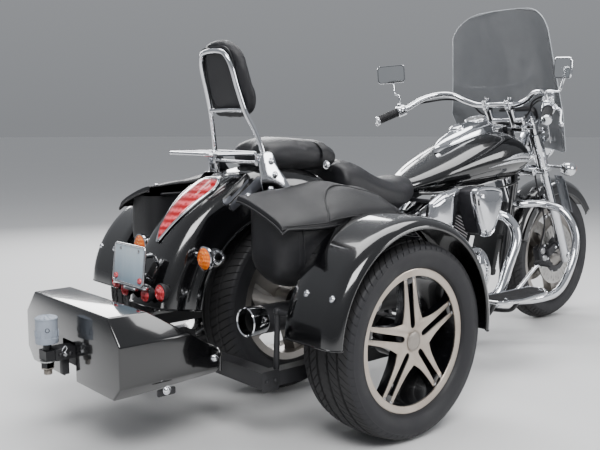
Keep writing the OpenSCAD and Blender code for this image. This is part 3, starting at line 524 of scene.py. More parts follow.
# ---- Swinging arm and rear shock absorbers ----
# Welded box arm in enamel with the shaft drive's housing on its left; two chromed shock absorbers with
# shrouded springs stand between it and the seat rails.
refinish(enamel, "swingarm")
for side, word in ((-1, "right"), (1, "left")):
    foot, top = (Vector((x, side * 0.196, z)) for x, z in ((0.02, 0.362), (-0.07, 0.68)))
    up = (top - foot).normalized()
    span = (top - foot).length
    coil = [foot + up * (0.05 + 0.135 * t / 60) + Matrix.Rotation(t * 2 * pi / 10, 3, up)
        @ (up.orthogonal().normalized() * 0.0225) for t in range(61)]
    shroud = turned([(0, 0.19), (0.026, 0.19), (0.0285, 0.196), (0.0285, span - 0.06), (0.022, span - 0.045),
        (0, span - 0.045)], foot, up, 36)
    body = turned([(0, 0.0), (0.01, 0.0), (0.012, 0.03), (0.017, 0.04), (0.017, 0.19), (0, 0.19)], foot, up,
        28)
    eyes = joined(*[turned([(0.0, -0.013), (0.017, -0.013), (0.0185, -0.01), (0.0185, 0.01), (0.017, 0.013),
        (0, 0.013)], p, (0, 1, 0), 28) for p in (foot, top)])
    studs = joined(pipe([top, (top.x, side * 0.118, top.z)], 0.008, 12, 1),
        pipe([foot, (foot.x, side * 0.181, foot.z)], 0.011, 12, 1))
    stem = pipe([foot + up * 0.15, top], 0.008, 12, 1)
    make(word + "_shock_absorber", [(shroud, chrome), (pipe(coil, 0.0045, 8, 2), chrome), (body, casting),
        (eyes, milled), (joined(studs, stem), chrome)], "chassis", "rear_shocks" if side < 0 else ())

# ---- Tyres ----
# Moulded black rubber. The tread is one block row repeated round the wheel: grooves run round the
# crown, and slanting sipes cut each rib. The outboard pair are car tyres, square in the shoulder; the
# front and driving tyres are rounder motorcycle tyres.
# Tyre rubber: blue-black sidewall with a soft bloom, greyer and rougher where the tread meets the road
rubber = surface("tyre_rubber", "101013", "1D1D22", (0.5, 0.68), patch=0.07, grain=0.0011, bump=0.35)
tread_rubber = surface("tread_rubber", "19191B", "2B2A2B", (0.7, 0.88), patch=0.03, grain=0.0016, bump=0.6)


def tyre(name, node, body, radius, width, rim, crown, power, grooves, slant):
    """A tyre as 72 equal wedges: each is a fan of cross sections, with the sipe pressed in between two of them."""
    low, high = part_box(node)
    centre = ((low.x + high.x) / 2 - AXLE_X, (low.y + high.y) / 2, (low.z + high.z) / 2)
    half, edge = width / 2, 0.87 * width / 2
    wall = radius - rim - crown
    side = [(0.72, 0.015), (0.8, 0.05), (0.865, 0.1), (0.88, 0.115), (0.93, 0.22), (0.975, 0.36),
        (0.998, 0.5), (1.0, 0.56), (0.995, 0.66), (0.98, 0.76), (0.985, 0.775), (0.975, 0.8), (0.955, 0.87),
        (0.93, 0.925), (0.905, 0.965)]
    across = []
    for g in grooves:
        across += [(g - 0.0046, 0), (g - 0.0034, -0.006), (g + 0.0034, -0.006), (g + 0.0046, 0)]
    marks = [-edge] + list(grooves) + [edge]
    for a, b in zip(marks, marks[1:]):
        across += [(a + (b - a) * k, 0) for k in ((0.02, 0.3, 0.7) if a == -edge else (0.3, 0.5, 0.7))]
    across += [(edge * 0.98, 0)]
    across.sort()
    crown_row = [(y, radius - crown * abs(y / edge) ** power + d, True) for y, d in across]
    left = [(-half * h, rim + wall * t, False) for h, t in side]
    section = left + crown_row + [(-y, r, False) for y, r, _ in reversed(left)]
    section += [(half * 0.7, rim - 0.004, False), (-half * 0.7, rim - 0.004, False)]
    columns = [(0, 0), (0.2, 0), (0.42, 0), (0.46, 1), (0.54, 1), (0.58, 0), (0.8, 0), (1, 0)]
    rows = []
    for turn, cut in columns:
        row = []
        for y, r, tread in section:
            shoulder = tread or (abs(y) > 0.92 * half and r > rim + 0.84 * wall)
            depth = 0.0042 * cut if shoulder and abs(y) > 0.012 else 0
            angle = radians(turn * 5) + slant * (abs(y) if power > 2.2 else y) / radius
            row.append(((r - depth) * cos(angle), y, (r - depth) * sin(angle)))
        rows.append(row)
    count = len(section)
    treads = {j for j in range(count) if section[j][2] and section[(j + 1) % count][2]}
    points, faces = netted(rows, caps=False)
    tread = points, [f for k, f in enumerate(faces) if k % count in treads]
    rest = points, [f for k, f in enumerate(faces) if k % count not in treads]
    parts = [(repeated(shape, finish, 72, turn=(0, 5, 0), centre=centre), finish) for shape,
        finish in ((rest, rubber), (tread, tread_rubber))]
    return make(name, parts, body, node)


tyre("right_outboard_tyre", "right_tyre", "right_wheel", 0.306, 0.205, 0.2185, 0.011, 2.6,
    (-0.058, -0.021, 0.021, 0.058), 1.0)
tyre("left_outboard_tyre", "left_tyre", "left_wheel", 0.306, 0.205, 0.2185, 0.011, 2.6,
    (-0.058, -0.021, 0.021, 0.058), 1.0)
tyre("driving_tyre", "drive_tyre", "drive_wheel", 0.329, 0.18, 0.2135, 0.034, 2.0,
    (-0.048, -0.016, 0.016, 0.048), 0.7)
tyre("front_wheel_tyre", "front_tyre", "front_wheel", 0.325, 0.13, 0.2375, 0.03, 2.0, (-0.034, 0, 0.034), 0.8)

# ---- Outboard wheels ----
# Cast aluminium, sprayed gloss black, then faced on a lathe: the flat ring, the five-armed star and
# the cap are bare metal with fine turning lines, and the slots, pockets and barrel stay black.


def turned_metal(name, centre, dark, light, pitch=0.0016):
    """Metal faced on a lathe: fine rings about an axle that lies across the vehicle."""
    finish, shader, place = new_finish(name)
    wire = finish.node_tree.links.new
    centred = add(finish, "ShaderNodeMapping", {"vector_type": "POINT", "Location": [-c for c in centre]},
        Vector=place)
    rings = add(finish, "ShaderNodeTexWave", {"wave_type": "RINGS", "rings_direction": "Y",
        "Scale": 0.31 / pitch, "Distortion": 0.4, "Detail": 1.0, "Detail Scale": 0.5},
        Vector=centred.outputs[0])
    cloud = add(finish, "ShaderNodeTexNoise", {"Scale": 14.0, "Detail": 4.0}, Vector=place)
    relief = add(finish, "ShaderNodeBump", {"Strength": 0.1, "Distance": 0.0002}, Height=rings.outputs["Fac"])
    wire(blended(finish, cloud.outputs[0], dark, light), shader.inputs["Base Color"])
    wire(ranged(finish, rings.outputs["Fac"], 0.27, 0.36), shader.inputs["Roughness"])
    wire(relief.outputs[0], shader.inputs["Normal"])
    shader.inputs["Metallic"].default_value = 1.0
    return finish


hub_low, hub_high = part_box("right_rim")
hub_x, hub_z = (hub_low.x + hub_high.x) / 2, (hub_low.z + hub_high.z) / 2
# Faced wheel alloy: warm grey, satin, with rings that catch the light
faced_alloy = turned_metal("faced_alloy", (hub_x, 0, hub_z), "A2968B", "CDC4B9")
# Pocket black: deep gloss enamel on the casting
pocket_black = surface("pocket_black", "050506", "0D0D10", (0.12, 0.25), patch=0.05, grain=0.001, bump=0.06,
    coat=0.6)
# Grey cap plastic: moulded in grey with a satin face
cap_grey = surface("cap_grey", "86807A", "A39C94", (0.3, 0.45), patch=0.01, grain=0.0008, bump=0.2, metal=0.6)
star_arm = [(0.061, 0.0443), (0.073, 0.04), (0.088, 0.035), (0.108, 0.031), (0.135, 0.028), (0.165, 0.0262),
    (0.199, 0.0255), (0.199, 0.0135), (0.165, 0.0118), (0.12, 0.0105), (0.054, 0.01), (0.0455, 0.0082),
    (0.0405, 0.0045)]
star_arm = star_arm + [(u, -v) for u, v in reversed(star_arm)]


def outboard_wheel(side, word):
    """One wheel, its star facing outward on the given side."""
    centre = Vector((hub_x - AXLE_X, 0, hub_z))
    middle = side * 0.583
    outline = []
    for k in range(5):
        a = radians(94 + 72 * k) if side < 0 else radians(86 - 72 * k)
        turn = [(u * cos(a) - v * sin(a) * (1 if side < 0 else -1), u * sin(a)
            + v * cos(a) * (1 if side < 0 else -1)) for u, v in star_arm[::-1]]
        outline += turn
    def lay(dish, depth):
        return lambda u, v, w: (centre.x + u, middle + side * (depth - w - dish * max(0, hypot(u, v) - 0.06)),
            centre.z + v)
    face = slab(outline, 0.0035, lay(0.05, 0.0745), 0.0012)
    core = slab([(u * 0.992, v * 0.992) for u, v in outline], 0.03, lay(0.05, 0.0712), 0)
    along = (0, side, 0)
    hub = (centre.x, middle, centre.z)
    flange = turned([(0.1975, 0.066), (0.1978, 0.0755), (0.199, 0.0768), (0.219, 0.0795), (0.2215, 0.0785),
        (0.2225, 0.074), (0.2205, 0.068)], hub, along, 96, closed=True)
    barrel = turned([(0.2195, 0.076), (0.223, 0.07), (0.218, 0.06), (0.213, 0.056), (0.21, 0.035),
        (0.207, -0.03), (0.211, -0.06), (0.222, -0.072), (0.221, -0.076), (0.21, -0.072), (0.201, -0.05),
        (0.1985, -0.02), (0.1965, 0.03), (0.1975, 0.072)], hub, along, 96, closed=True)
    pads = joined(*[moved(block((0.188, 0, 0), (0.026, 0.05, 0.036), 0.004),
        Matrix.Translation(Vector(hub) + Vector((0, side * 0.05, 0))) @ Matrix.Rotation(-radians(94 + 72 * k
        if side < 0 else 86 - 72 * k), 4, "Y") @ Matrix.Rotation(pi / 2, 4, "X")) for k in range(5)])
    centre_hub = turned([(0.0172, -0.044), (0.055, -0.044), (0.06, -0.038), (0.06, 0.04), (0.052, 0.06),
        (0.046, 0.066), (0.0172, 0.066)], hub, along, 56, closed=True)
    cap = turned([(0, 0.08), (0.018, 0.0802), (0.0255, 0.079), (0.0285, 0.077), (0.0295, 0.073),
        (0.0295, 0.066), (0, 0.066)], hub, along, 56)
    ring = turned([(0.0305, 0.0742), (0.0318, 0.0752), (0.0332, 0.0742), (0.0332, 0.07), (0.0305, 0.07)], hub,
        along, 56, closed=True)
    lugs = joined(*[turned([(0, 0.06), (0.0095, 0.06), (0.0095, 0.066), (0.0075, 0.069), (0, 0.069)],
        (hub[0] + 0.048 * cos(a), hub[1], hub[2] + 0.048 * sin(a)), along, 6)
        for a in (radians((94 if side < 0 else 86) + 36 + 72 * k) for k in range(5))])
    glints = joined(*[moved(block((0.1955, s * 0.0165, 0.0), (0.01, 0.012, 0.02), 0.003),
        Matrix.Translation(Vector(hub) + Vector((0, side * 0.06, 0))) @ Matrix.Rotation(-radians(94 + 72 * k
        if side < 0 else 86 - 72 * k), 4, "Y") @ Matrix.Rotation(pi / 2, 4, "X")) for k in range(5)
        for s in (1, -1)])
    make(word + "_outboard_wheel", [(face, faced_alloy), (core, pocket_black), (flange, faced_alloy),
        (barrel, pocket_black), (pads, pocket_black), (centre_hub, pocket_black), (cap, cap_grey),
        (ring, faced_alloy), (lugs, pocket_black), (glints, milled)], word + "_wheel", word + "_rim",
        angle=28)


outboard_wheel(-1, "right")
outboard_wheel(1, "left")

# ---- Front and driving wheels ----
# Cast in the same alloy, five plain spokes, with drilled steel brake discs bolted to the front hub.
refinish(surface("wheel_alloy", "8E8A86", "ABA7A2", (0.28, 0.45), metal=1.0, patch=0.05, grain=0.0012,
    bump=0.15), "front_rim", "drive_rim")
low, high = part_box("front_tyre")
front = ((low.x + high.x) / 2 - AXLE_X, 0, (low.z + high.z) / 2)
# Ground disc steel: rings left by the pads, straw-bright
disc_steel = turned_metal("disc_steel", (front[0] + AXLE_X, 0, front[2]), "A5A3A0", "CFCDCA", 0.0009)
disc_parts = []
for side in (-1, 1):
    # One sector of the disc, with a drilled hole through it
    sector, inner, outer = [], 0.088, 0.148
    sectors = 36
    a0 = 2 * pi / sectors
    rim_points = [(r, t * a0) for r, t in ((inner, 0), (inner, 0.5), (inner, 1), ((inner + outer) / 2, 1),
        (outer, 1), (outer, 0.5), (outer, 0), ((inner + outer) / 2, 0))]
    for flip in (0, 1):
        offset = (0.024, 0.0, -0.022)[flip]
        edge = [(r * cos(t), r * sin(t)) for r, t in rim_points]
        mid_r, mid_t = (inner + outer) / 2 + offset * 0.6, 0.5 * a0
        drill = [(mid_r * cos(mid_t) + 0.0042 * cos(-3 * pi / 4 + mid_t + k * pi / 4 - pi / 4),
            mid_r * sin(mid_t) + 0.0042 * sin(-3 * pi / 4 + mid_t + k * pi / 4 - pi / 4)) for k in range(8)]
        ring_rows = [[(u, side * (0.0592 + w), v) for u, v in pts] for pts,
            w in ((drill, 0), (edge, 0), (edge, 0.0055), (drill, 0.0055), (drill, 0))]
        sector.append(netted(ring_rows, caps=False))
    spun = joined(*[repeated(moved(s, Matrix.Rotation(-a0 * k, 4, "Y")), disc_steel, sectors // 2,
        turn=(0, -720 / sectors, 0), centre=front) for k, s in enumerate(sector)])
    carrier = turned([(0.06, side * 0.054), (0.09, side * 0.058), (0.094, side * 0.062), (0.09, side * 0.066),
        (0.06, side * 0.07)], front, (0, 1, 0), 48, closed=True)
    buttons = joined(*[turned([(0, 0), (0.006, 0), (0.006, 0.0022), (0.004, 0.0034), (0, 0.0034)],
        (front[0] + 0.09 * cos(k * pi / 5), side * 0.0648, front[2] + 0.09 * sin(k * pi / 5)), (0, side, 0),
        12) for k in range(10)])
    disc_parts += [(spun, disc_steel), (carrier, casting), (buttons, milled)]
make("front_brake_discs", disc_parts, "front_wheel")

# ---- Fuel tank ----
# Pressed steel halves, seam-welded and lacquered gloss black: full shoulders in front, drawn down to a
# narrow tail at the seat, and tucked in below above the cylinders.
# Black lacquer: near-mirror gloss over a very dark base, with the faintest orange peel
lacquer = surface("black_lacquer", "060607", "0B0B0D", (0.1, 0.2), patch=0.25, grain=0.012, bump=0.02,
    coat=1.0)
# Sections from the tail to the nose: x, half width, crown, height of widest point, bottom, fullness
tank_sections = [(0.604, 0.02, 0.712, 0.7, 0.69, 2.0), (0.612, 0.045, 0.722, 0.698, 0.68, 2.1),
    (0.64, 0.076, 0.738, 0.704, 0.674, 2.2), (0.7, 0.108, 0.766, 0.722, 0.67, 2.3),
    (0.78, 0.136, 0.802, 0.746, 0.668, 2.4), (0.88, 0.158, 0.846, 0.77, 0.67, 2.5),
    (0.98, 0.174, 0.888, 0.79, 0.676, 2.5), (1.08, 0.186, 0.917, 0.806, 0.682, 2.5),
    (1.16, 0.19, 0.926, 0.814, 0.69, 2.5), (1.22, 0.188, 0.916, 0.814, 0.698, 2.5),
    (1.262, 0.18, 0.894, 0.808, 0.712, 2.4), (1.296, 0.16, 0.866, 0.802, 0.73, 2.2),
    (1.316, 0.128, 0.838, 0.796, 0.75, 2.0), (1.324, 0.08, 0.816, 0.79, 0.768, 2.0)]


def between(rows, x):
    """A row of sizes at x, eased between the listed rows."""
    for a, b in zip(rows, rows[1:]):
        if a[0] <= x <= b[0]:
            t = (x - a[0]) / (b[0] - a[0])
            return [p + (q - p) * t for p, q in zip(a, b)]
    return list(rows[-1] if x > rows[-1][0] else rows[0])


def tank_ring(row, count=64):
    x, half, top, waist, bottom, full = row
    ring = []
    for k in range(count):
        a = 2 * pi * k / count
        c, s = cos(a), sin(a)
        y = half * (abs(c) ** (2 / full)) * (1 if c > 0 else -1)
        z = waist + ((top - waist) if s > 0 else (waist - bottom)) * (abs(s) ** (2 / full)) * (1 if s > 0
            else -1)
        if s < 0:
            y *= 1 - 0.22 * abs(s) ** 1.5
        # The real tank's lacquer turns sharply where the flank meets the crown; this ring leaves that shoulder
        # rounded
        ring.append((x, y, z))
    return ring


tank_rows = []
marks = eased([(r[0], r[1], r[2]) for r in tank_sections], 3)
marks2 = eased([(r[3], r[4], r[5]) for r in tank_sections], 3)
for m, n in zip(marks, marks2):
    tank_rows.append(tank_ring((m.x, m.y, m.z, n.x, n.y, n.z)))
tank_shell = netted(tank_rows)
# The dark tunnel seam below, and the lip where the two pressed halves are welded
seam = []
for s in (-1, 1):
    seam.append(pipe([(0.66, s * 0.082, 0.6745), (0.8, s * 0.112, 0.67), (0.98, s * 0.142, 0.6765),
        (1.16, s * 0.156, 0.69), (1.25, s * 0.142, 0.712)], 0.0042, 10, 6))
make("fuel_tank_shell", [(tank_shell, lacquer), (joined(*seam), lacquer)], "chassis", "fuel_tank",
    angle=50)
# A bare silver flash on each flank, laid over the lacquer: two tapering strokes, no wording
# Silver leaf: brushed foil under clear coat
silver_leaf = surface("silver_leaf", "B9BBC0", "E6E7EA", (0.2, 0.4), metal=0.9, patch=0.01, grain=0.0014,
    bump=0.25, coat=0.5)


def on_flank(x, z, side, lift=0.0006):
    """The point of the tank's flank at x and z, lifted off the lacquer."""
    m = [between([(p.x, p.y, p.z, n.x, n.y, n.z) for p, n in zip(marks, marks2)], x)][0]
    half, top, waist, bottom, full = m[1], m[2], m[3], m[4], m[5]
    s = (z - waist) / ((top - waist) if z > waist else (waist - bottom))
    s = max(-0.98, min(0.98, s))
    c = (1 - abs(s) ** full) ** (1 / full)
    y = half * c * (1 if s > 0 else 1 - 0.22 * (abs(s) ** (full / 2)) ** 1.5)
    return Vector((x, side * (y + lift), z))


def flash(stroke, side):
    """One stroke: rows of (x, z, half width) from its point to its blunt end, with a shallow crown."""
    rows = []
    fine = eased(stroke, 8)
    for p in fine:
        w = p.z
        rows.append([on_flank(p.x, p.y + w * k, side, 0.0004 + 0.0022 * (1 - k * k))
            for k in (-1, -0.6, 0, 0.6, 1)] + [on_flank(p.x, p.y + w * k, side, -0.002) for k in (1, -1)])
    return netted(rows)


strokes = [[(1.06, 0.798, 0.0004), (1.11, 0.808, 0.0055), (1.16, 0.8165, 0.0095), (1.215, 0.819, 0.0105),
    (1.262, 0.8135, 0.0075)], [(0.985, 0.77, 0.0004), (1.06, 0.783, 0.0034), (1.14, 0.7935, 0.006),
    (1.215, 0.797, 0.0065), (1.268, 0.793, 0.0045)]]
make("tank_flashes", [(joined(*[flash(stroke, side) for stroke in strokes for side in (-1, 1)]),
    silver_leaf)], "chassis")

# ---- Tank console ----
# A chromed die casting along the crest of the tank, pointed at the back, with a round dial under glass
# and a filler cap behind it.
console_sections = [(0.838, 0.004, 0.856, 0.845), (0.862, 0.02, 0.8745, 0.85), (0.9, 0.035, 0.898, 0.86),
    (0.96, 0.05, 0.926, 0.878), (1.02, 0.06, 0.95, 0.894), (1.08, 0.066, 0.9685, 0.904),
    (1.13, 0.067, 0.978, 0.908), (1.165, 0.062, 0.977, 0.908), (1.19, 0.05, 0.968, 0.906),
    (1.206, 0.03, 0.952, 0.902)]
console_rows = []
fine = eased([(r[0], r[1], r[2]) for r in console_sections], 4)
floor_line = eased([(r[3], 0, 0) for r in console_sections], 4)
for m, n in zip(fine, floor_line):
    ring = []
    for k in range(33):
        a = pi * k / 32
        ring.append((m.x, m.y * cos(a) * (1 + 0.12 * sin(a) ** 2), n.x + (m.z - n.x) * abs(sin(a)) ** 0.72))
    ring += [(m.x, -m.y * 0.9, n.x - 0.012), (m.x, m.y * 0.9, n.x - 0.012)]
    console_rows.append(ring)
face_up = Vector((-0.3, 0, 0.954)).normalized()
dial_at = Vector((1.112, 0, 0.972))
# Dial face: matt black disc with printed ticks, under a domed glass
dial_black = surface("dial_black", "08080A", "121216", (0.5, 0.6), patch=0.01, grain=0.001, bump=0.1)
dial_print = surface("dial_print", "C9CCD2", "E4E6EA", (0.5, 0.6), patch=0.01, grain=0.001, bump=0.1)
bezel = turned([(0.043, -0.012), (0.0465, 0.000), (0.0465, 0.006), (0.044, 0.0085), (0.0405, 0.0085),
    (0.04, 0.004), (0.039, -0.004)], dial_at, face_up, 56, closed=True)
dial = turned([(0, 0.0036), (0.0405, 0.0036), (0.0405, -0.004), (0, -0.004)], dial_at, face_up, 48)
lie = Matrix.Translation(dial_at) @ Vector((0, 0, 1)).rotation_difference(face_up).to_matrix().to_4x4()
tick = block((0.0345, 0, 0.0042), (0.006, 0.0012, 0.0006), 0, steps=1)
ticks = joined(*[moved(moved(tick, Matrix.Rotation(radians(-40 + 26 * k), 4, "Z")), lie) for k in range(11)])
needle = moved(joined(block((0.012, 0, 0.005), (0.03, 0.0016, 0.0008), 0, steps=1),
    turned([(0, 0.0042), (0.004, 0.0042), (0.004, 0.006), (0, 0.006)], segments=16)),
    lie @ Matrix.Rotation(radians(200), 4, "Z"))
# Dial glass: clear, slightly domed
clear_glass, shader, place = new_finish("dial_glass")
shader.inputs["Roughness"].default_value = 0.02
shader.inputs["IOR"].default_value = 1.5
smear = add(clear_glass, "ShaderNodeTexNoise", {"Scale": 60.0, "Detail": 3.0}, Vector=place)
clear_glass.node_tree.links.new(ranged(clear_glass, smear.outputs[0], 0.1, 0.16), shader.inputs["Alpha"])
clear_glass.node_tree.links.new(ranged(clear_glass, smear.outputs[0], 0.01, 0.05), shader.inputs["Roughness"])
glass = turned([(0, 0.0105), (0.02, 0.01), (0.036, 0.0082), (0.0402, 0.007), (0.0402, 0.0066), (0, 0.0095)],
    dial_at, face_up, 40)
cap_at = Vector((0.985, 0, 0.9345))
cap_up = Vector((-0.4, 0, 0.92)).normalized()
filler = turned([(0, 0.015), (0.014, 0.0148), (0.026, 0.0125), (0.03, 0.009), (0.031, 0.004), (0.034, 0.003),
    (0.035, -0.003), (0, -0.003)], cap_at, cap_up, 48)
make("console_cover", [(netted(console_rows), chrome), (bezel, chrome), (filler, chrome), (dial, dial_black),
    (ticks, dial_print), (needle, dial_print), (glass, clear_glass)], "chassis", "tank_console",
    angle=48)

# ---- Side covers ----
# Chromed pressings below the seat nose, each with a raised rib and a screw, over the battery box.
cover_outline = rounded([(0.58, 0.566), (0.6, 0.646), (0.664, 0.682), (0.762, 0.702), (0.782, 0.694),
    (0.76, 0.6), (0.752, 0.548), (0.712, 0.522)], 0.014, 3)
for side, word in ((-1, "right"), (1, "left")):
    cover = bellied(cover_outline, [(0.985, 0), (1, 0.003), (1, 0.012), (0.965, 0.019), (0.9, 0.022),
        (0.5, 0.027)], (0.684, 0.616), side, 0.168)
    rib = pipe([(0.612, side * 0.1945, 0.64), (0.672, side * 0.1965, 0.664), (0.752, side * 0.193, 0.684)],
        0.004, 10, 5)
    screw = dome_nut((0.704, side * 0.194, 0.556), (0, side, 0), 0.007, 0.006)
    post = pipe([(0.66, side * 0.028, 0.648), (0.66, side * 0.17, 0.648)], 0.008, 12, 1)
    make(word + "_side_cover", [(cover, chrome), (rib, chrome), (screw, milled), (post, casting)], "chassis",
        "side_covers" if side < 0 else ())

# ---- Seats and backrest pad ----
# Foam shells under black hide, pulled tight over a base. The rider's seat is a deep saddle with a
# sewn ridge; the passenger's pillion sits above it with a strap across and a chromed stud on each side.
# Seat hide: fine pebble grain, soft gloss, worn a little smoother on the crowns


def hide(name, dark, light, rough, grain=0.0026, bump=0.35):
    """Hide with a pebbled grain: cells pressed into the surface, creases between them."""
    finish, shader, place = new_finish(name)
    wire = finish.node_tree.links.new
    pebbles = add(finish, "ShaderNodeTexVoronoi", {"feature": "DISTANCE_TO_EDGE", "Scale": 1 / grain},
        Vector=place)
    creases = add(finish, "ShaderNodeTexNoise", {"Scale": 90.0, "Detail": 6.0, "Roughness": 0.7},
        Vector=place)
    wear = add(finish, "ShaderNodeTexNoise", {"Scale": 7.0, "Detail": 3.0}, Vector=place)
    deep = ranged(finish, pebbles.outputs["Distance"], 0, 1, 0, 0.25)
    height = add(finish, "ShaderNodeMath", {"operation": "ADD"}, n0=deep, n1=creases.outputs[0])
    relief = add(finish, "ShaderNodeBump", {"Strength": bump, "Distance": 0.0006}, Height=height.outputs[0])
    wire(blended(finish, wear.outputs[0], dark, light), shader.inputs["Base Color"])
    wire(ranged(finish, wear.outputs[0], rough[0], rough[1], 0.3, 0.7), shader.inputs["Roughness"])
    wire(relief.outputs[0], shader.inputs["Normal"])
    shader.inputs["IOR"].default_value = 1.48
    shader.inputs["Specular IOR Level"].default_value = 0.5
    return finish


seat_hide = hide("seat_hide", "0F0F12", "1B1B20", (0.36, 0.5))
thread = surface("waxed_thread", "1A1A1D", "2B2B2F", (0.5, 0.7), patch=0.01, grain=0.0006, bump=0.6)


def cushion(name, rings, body, node, swell, cap, seams=(), extra=()):
    """A cushion: a slightly small closed form, blown up as cloth by pressure, capped, smoothed, then grooved."""
    shape = netted(rings)
    piece = make(name, [(shape, seat_hide)], body)
    mesh = piece.data
    rest = None
    remesh = piece.modifiers.new("even", "REMESH")
    remesh.mode, remesh.voxel_size = "VOXEL", 0.0055
    even = bpy.data.meshes.new_from_object(piece.evaluated_get(bpy.context.evaluated_depsgraph_get()))
    piece.modifiers.clear()
    piece.data = even
    rest = [v.co.copy() for v in even.vertices]
    cloth = piece.modifiers.new("cloth", "CLOTH")
    cloth.settings.use_pressure = True
    cloth.settings.uniform_pressure_force = swell
    cloth.settings.effector_weights.gravity = 0
    cloth.settings.quality = 4
    cloth.settings.tension_stiffness = cloth.settings.compression_stiffness = 30
    cloth.point_cache.frame_start, cloth.point_cache.frame_end = 1, 20
    for number in range(1, 21):
        bpy.context.scene.frame_set(number)
    blown = bpy.data.meshes.new_from_object(piece.evaluated_get(bpy.context.evaluated_depsgraph_get()))
    piece.modifiers.clear()
    for v, start in zip(blown.vertices, rest):
        move = v.co - start
        v.co = start + move * min(1, cap / max(move.length, 1e-9))
    bpy.context.scene.frame_set(1)
    piece.data = blown
    form = bmesh.new()
    form.from_mesh(piece.data)
    for _ in range(6):
        bmesh.ops.smooth_vert(form, verts=form.verts, factor=0.5, use_axis_x=True, use_axis_y=True,
            use_axis_z=True)
    for line, width, depth in seams:
        path = [p + Vector((AXLE_X, 0, 0)) for p in eased(line, 8)]
        for v in form.verts:
            near = min((v.co - p).length for p in path)
            if near < width:
                v.co -= v.normal * depth * (1 - (near / width) ** 2) ** 2
    form.to_mesh(piece.data)
    form.free()
    piece.data.materials.clear()
    piece.data.materials.append(seat_hide)
    for finish in extra:
        piece.data.materials.append(finish)
    for f in piece.data.polygons:
        f.material_index = 0
    piece.data.shade_smooth()
    sub = piece.modifiers.new("smooth", "SUBSURF")
    sub.levels = sub.render_levels = 1
    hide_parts(node)
    return piece


def pillow_ring(x, half, top, bottom, lean=0.0, full=2.8, count=40):
    """One cross section of a seat: crowned above, flat below, its sides drawn in between the corners."""
    ring = []
    for k in range(count):
        a = 2 * pi * k / count
        c, s = cos(a), sin(a)
        y = half * abs(c) ** (2 / full) * (1 if c > 0 else -1)
        z = abs(s) ** (2 / (full if s < 0 else 2.3)) * (1 if s > 0 else -1)
        z = (top + bottom) / 2 + z * (top - bottom) / 2
        ring.append((x + lean * (z - bottom), y, z))
    return ring


def seat_rows(sections, steps=4):
    """Rings along a seat, eased between its listed sections (x, half width, top, bottom)."""
    a = eased([(s[0], s[1], s[2]) for s in sections], steps)
    b = eased([(s[3], 0, 0) for s in sections], steps)
    return [pillow_ring(p.x, p.y, p.z, q.x) for p, q in zip(a, b)]


rider = seat_rows([(0.196, 0.11, 0.8, 0.69), (0.202, 0.13, 0.818, 0.664), (0.228, 0.142, 0.822, 0.646),
    (0.29, 0.15, 0.806, 0.638), (0.36, 0.158, 0.768, 0.636), (0.43, 0.16, 0.742, 0.634),
    (0.5, 0.152, 0.73, 0.634), (0.56, 0.128, 0.738, 0.64), (0.6, 0.1, 0.75, 0.652),
    (0.62, 0.074, 0.748, 0.664), (0.626, 0.05, 0.736, 0.676)])
cushion("rider_saddle", rider, "chassis", "rider_seat", 4.0, 0.008,
    seams=[([(0.262, s * 0.02 * k, 0.8) for k in range(0, 8)], 0.007, 0.004) for s in (1, -1)]
    + [([(0.26, s * 0.118, 0.8), (0.33, s * 0.126, 0.774), (0.42, s * 0.128, 0.742), (0.5, s * 0.122, 0.728),
    (0.57, s * 0.098, 0.735)], 0.008, 0.004) for s in (1, -1)])
pillion = seat_rows([(-0.146, 0.062, 0.872, 0.82), (-0.142, 0.09, 0.886, 0.806), (-0.12, 0.11, 0.896, 0.797),
    (-0.06, 0.122, 0.902, 0.796), (0.02, 0.126, 0.898, 0.796), (0.09, 0.127, 0.892, 0.796),
    (0.14, 0.122, 0.884, 0.796), (0.168, 0.108, 0.874, 0.8), (0.176, 0.082, 0.862, 0.808)])
strap_line = [(0.098, 0.13 * cos(a), 0.846 + 0.062 * sin(a)) for a in (k * pi / 12 for k in range(-1, 14))]
cushion("pillion_seat", pillion, "chassis", "passenger_seat", 4.0, 0.007,
    seams=[(strap_line, 0.02, 0.006)])
# The pillion's strap, with a chromed stud at each end; the piping round its lower edge is not built
strap_rows = []
for k in range(0, 25):
    a = radians(-14 + 208 * k / 24)
    half, z = 0.1285 * abs(cos(a)) ** (2 / 2.8) * (1 if cos(a) > 0
        else -1), 0.845 + 0.0505 * abs(sin(a)) ** (2 / 2.3) * (1 if sin(a) > 0 else -1)
    n = Vector((0, cos(a), sin(a)))
    p = Vector((0, half, z))
    strap_rows.append([p + n * h + Vector((0.098 + w, 0, 0)) for w,
        h in ((-0.017, -0.001), (-0.017, 0.0022), (-0.012, 0.003), (0.012, 0.003), (0.017, 0.0022),
        (0.017, -0.001))])
studs = joined(*[turned([(0, 0), (0.015, 0), (0.0155, 0.003), (0.0125, 0.004), (0.011, 0.01),
    (0.0075, 0.0145), (0, 0.016)], (0.099, s * 0.1265, 0.812), (0, s, 0), 28) for s in (1, -1)])
hide_strap = hide("strap_hide", "0C0C0F", "18181C", (0.34, 0.46), 0.002)
make("pillion_strap", [(netted(strap_rows), hide_strap), (studs, chrome)], "chassis")

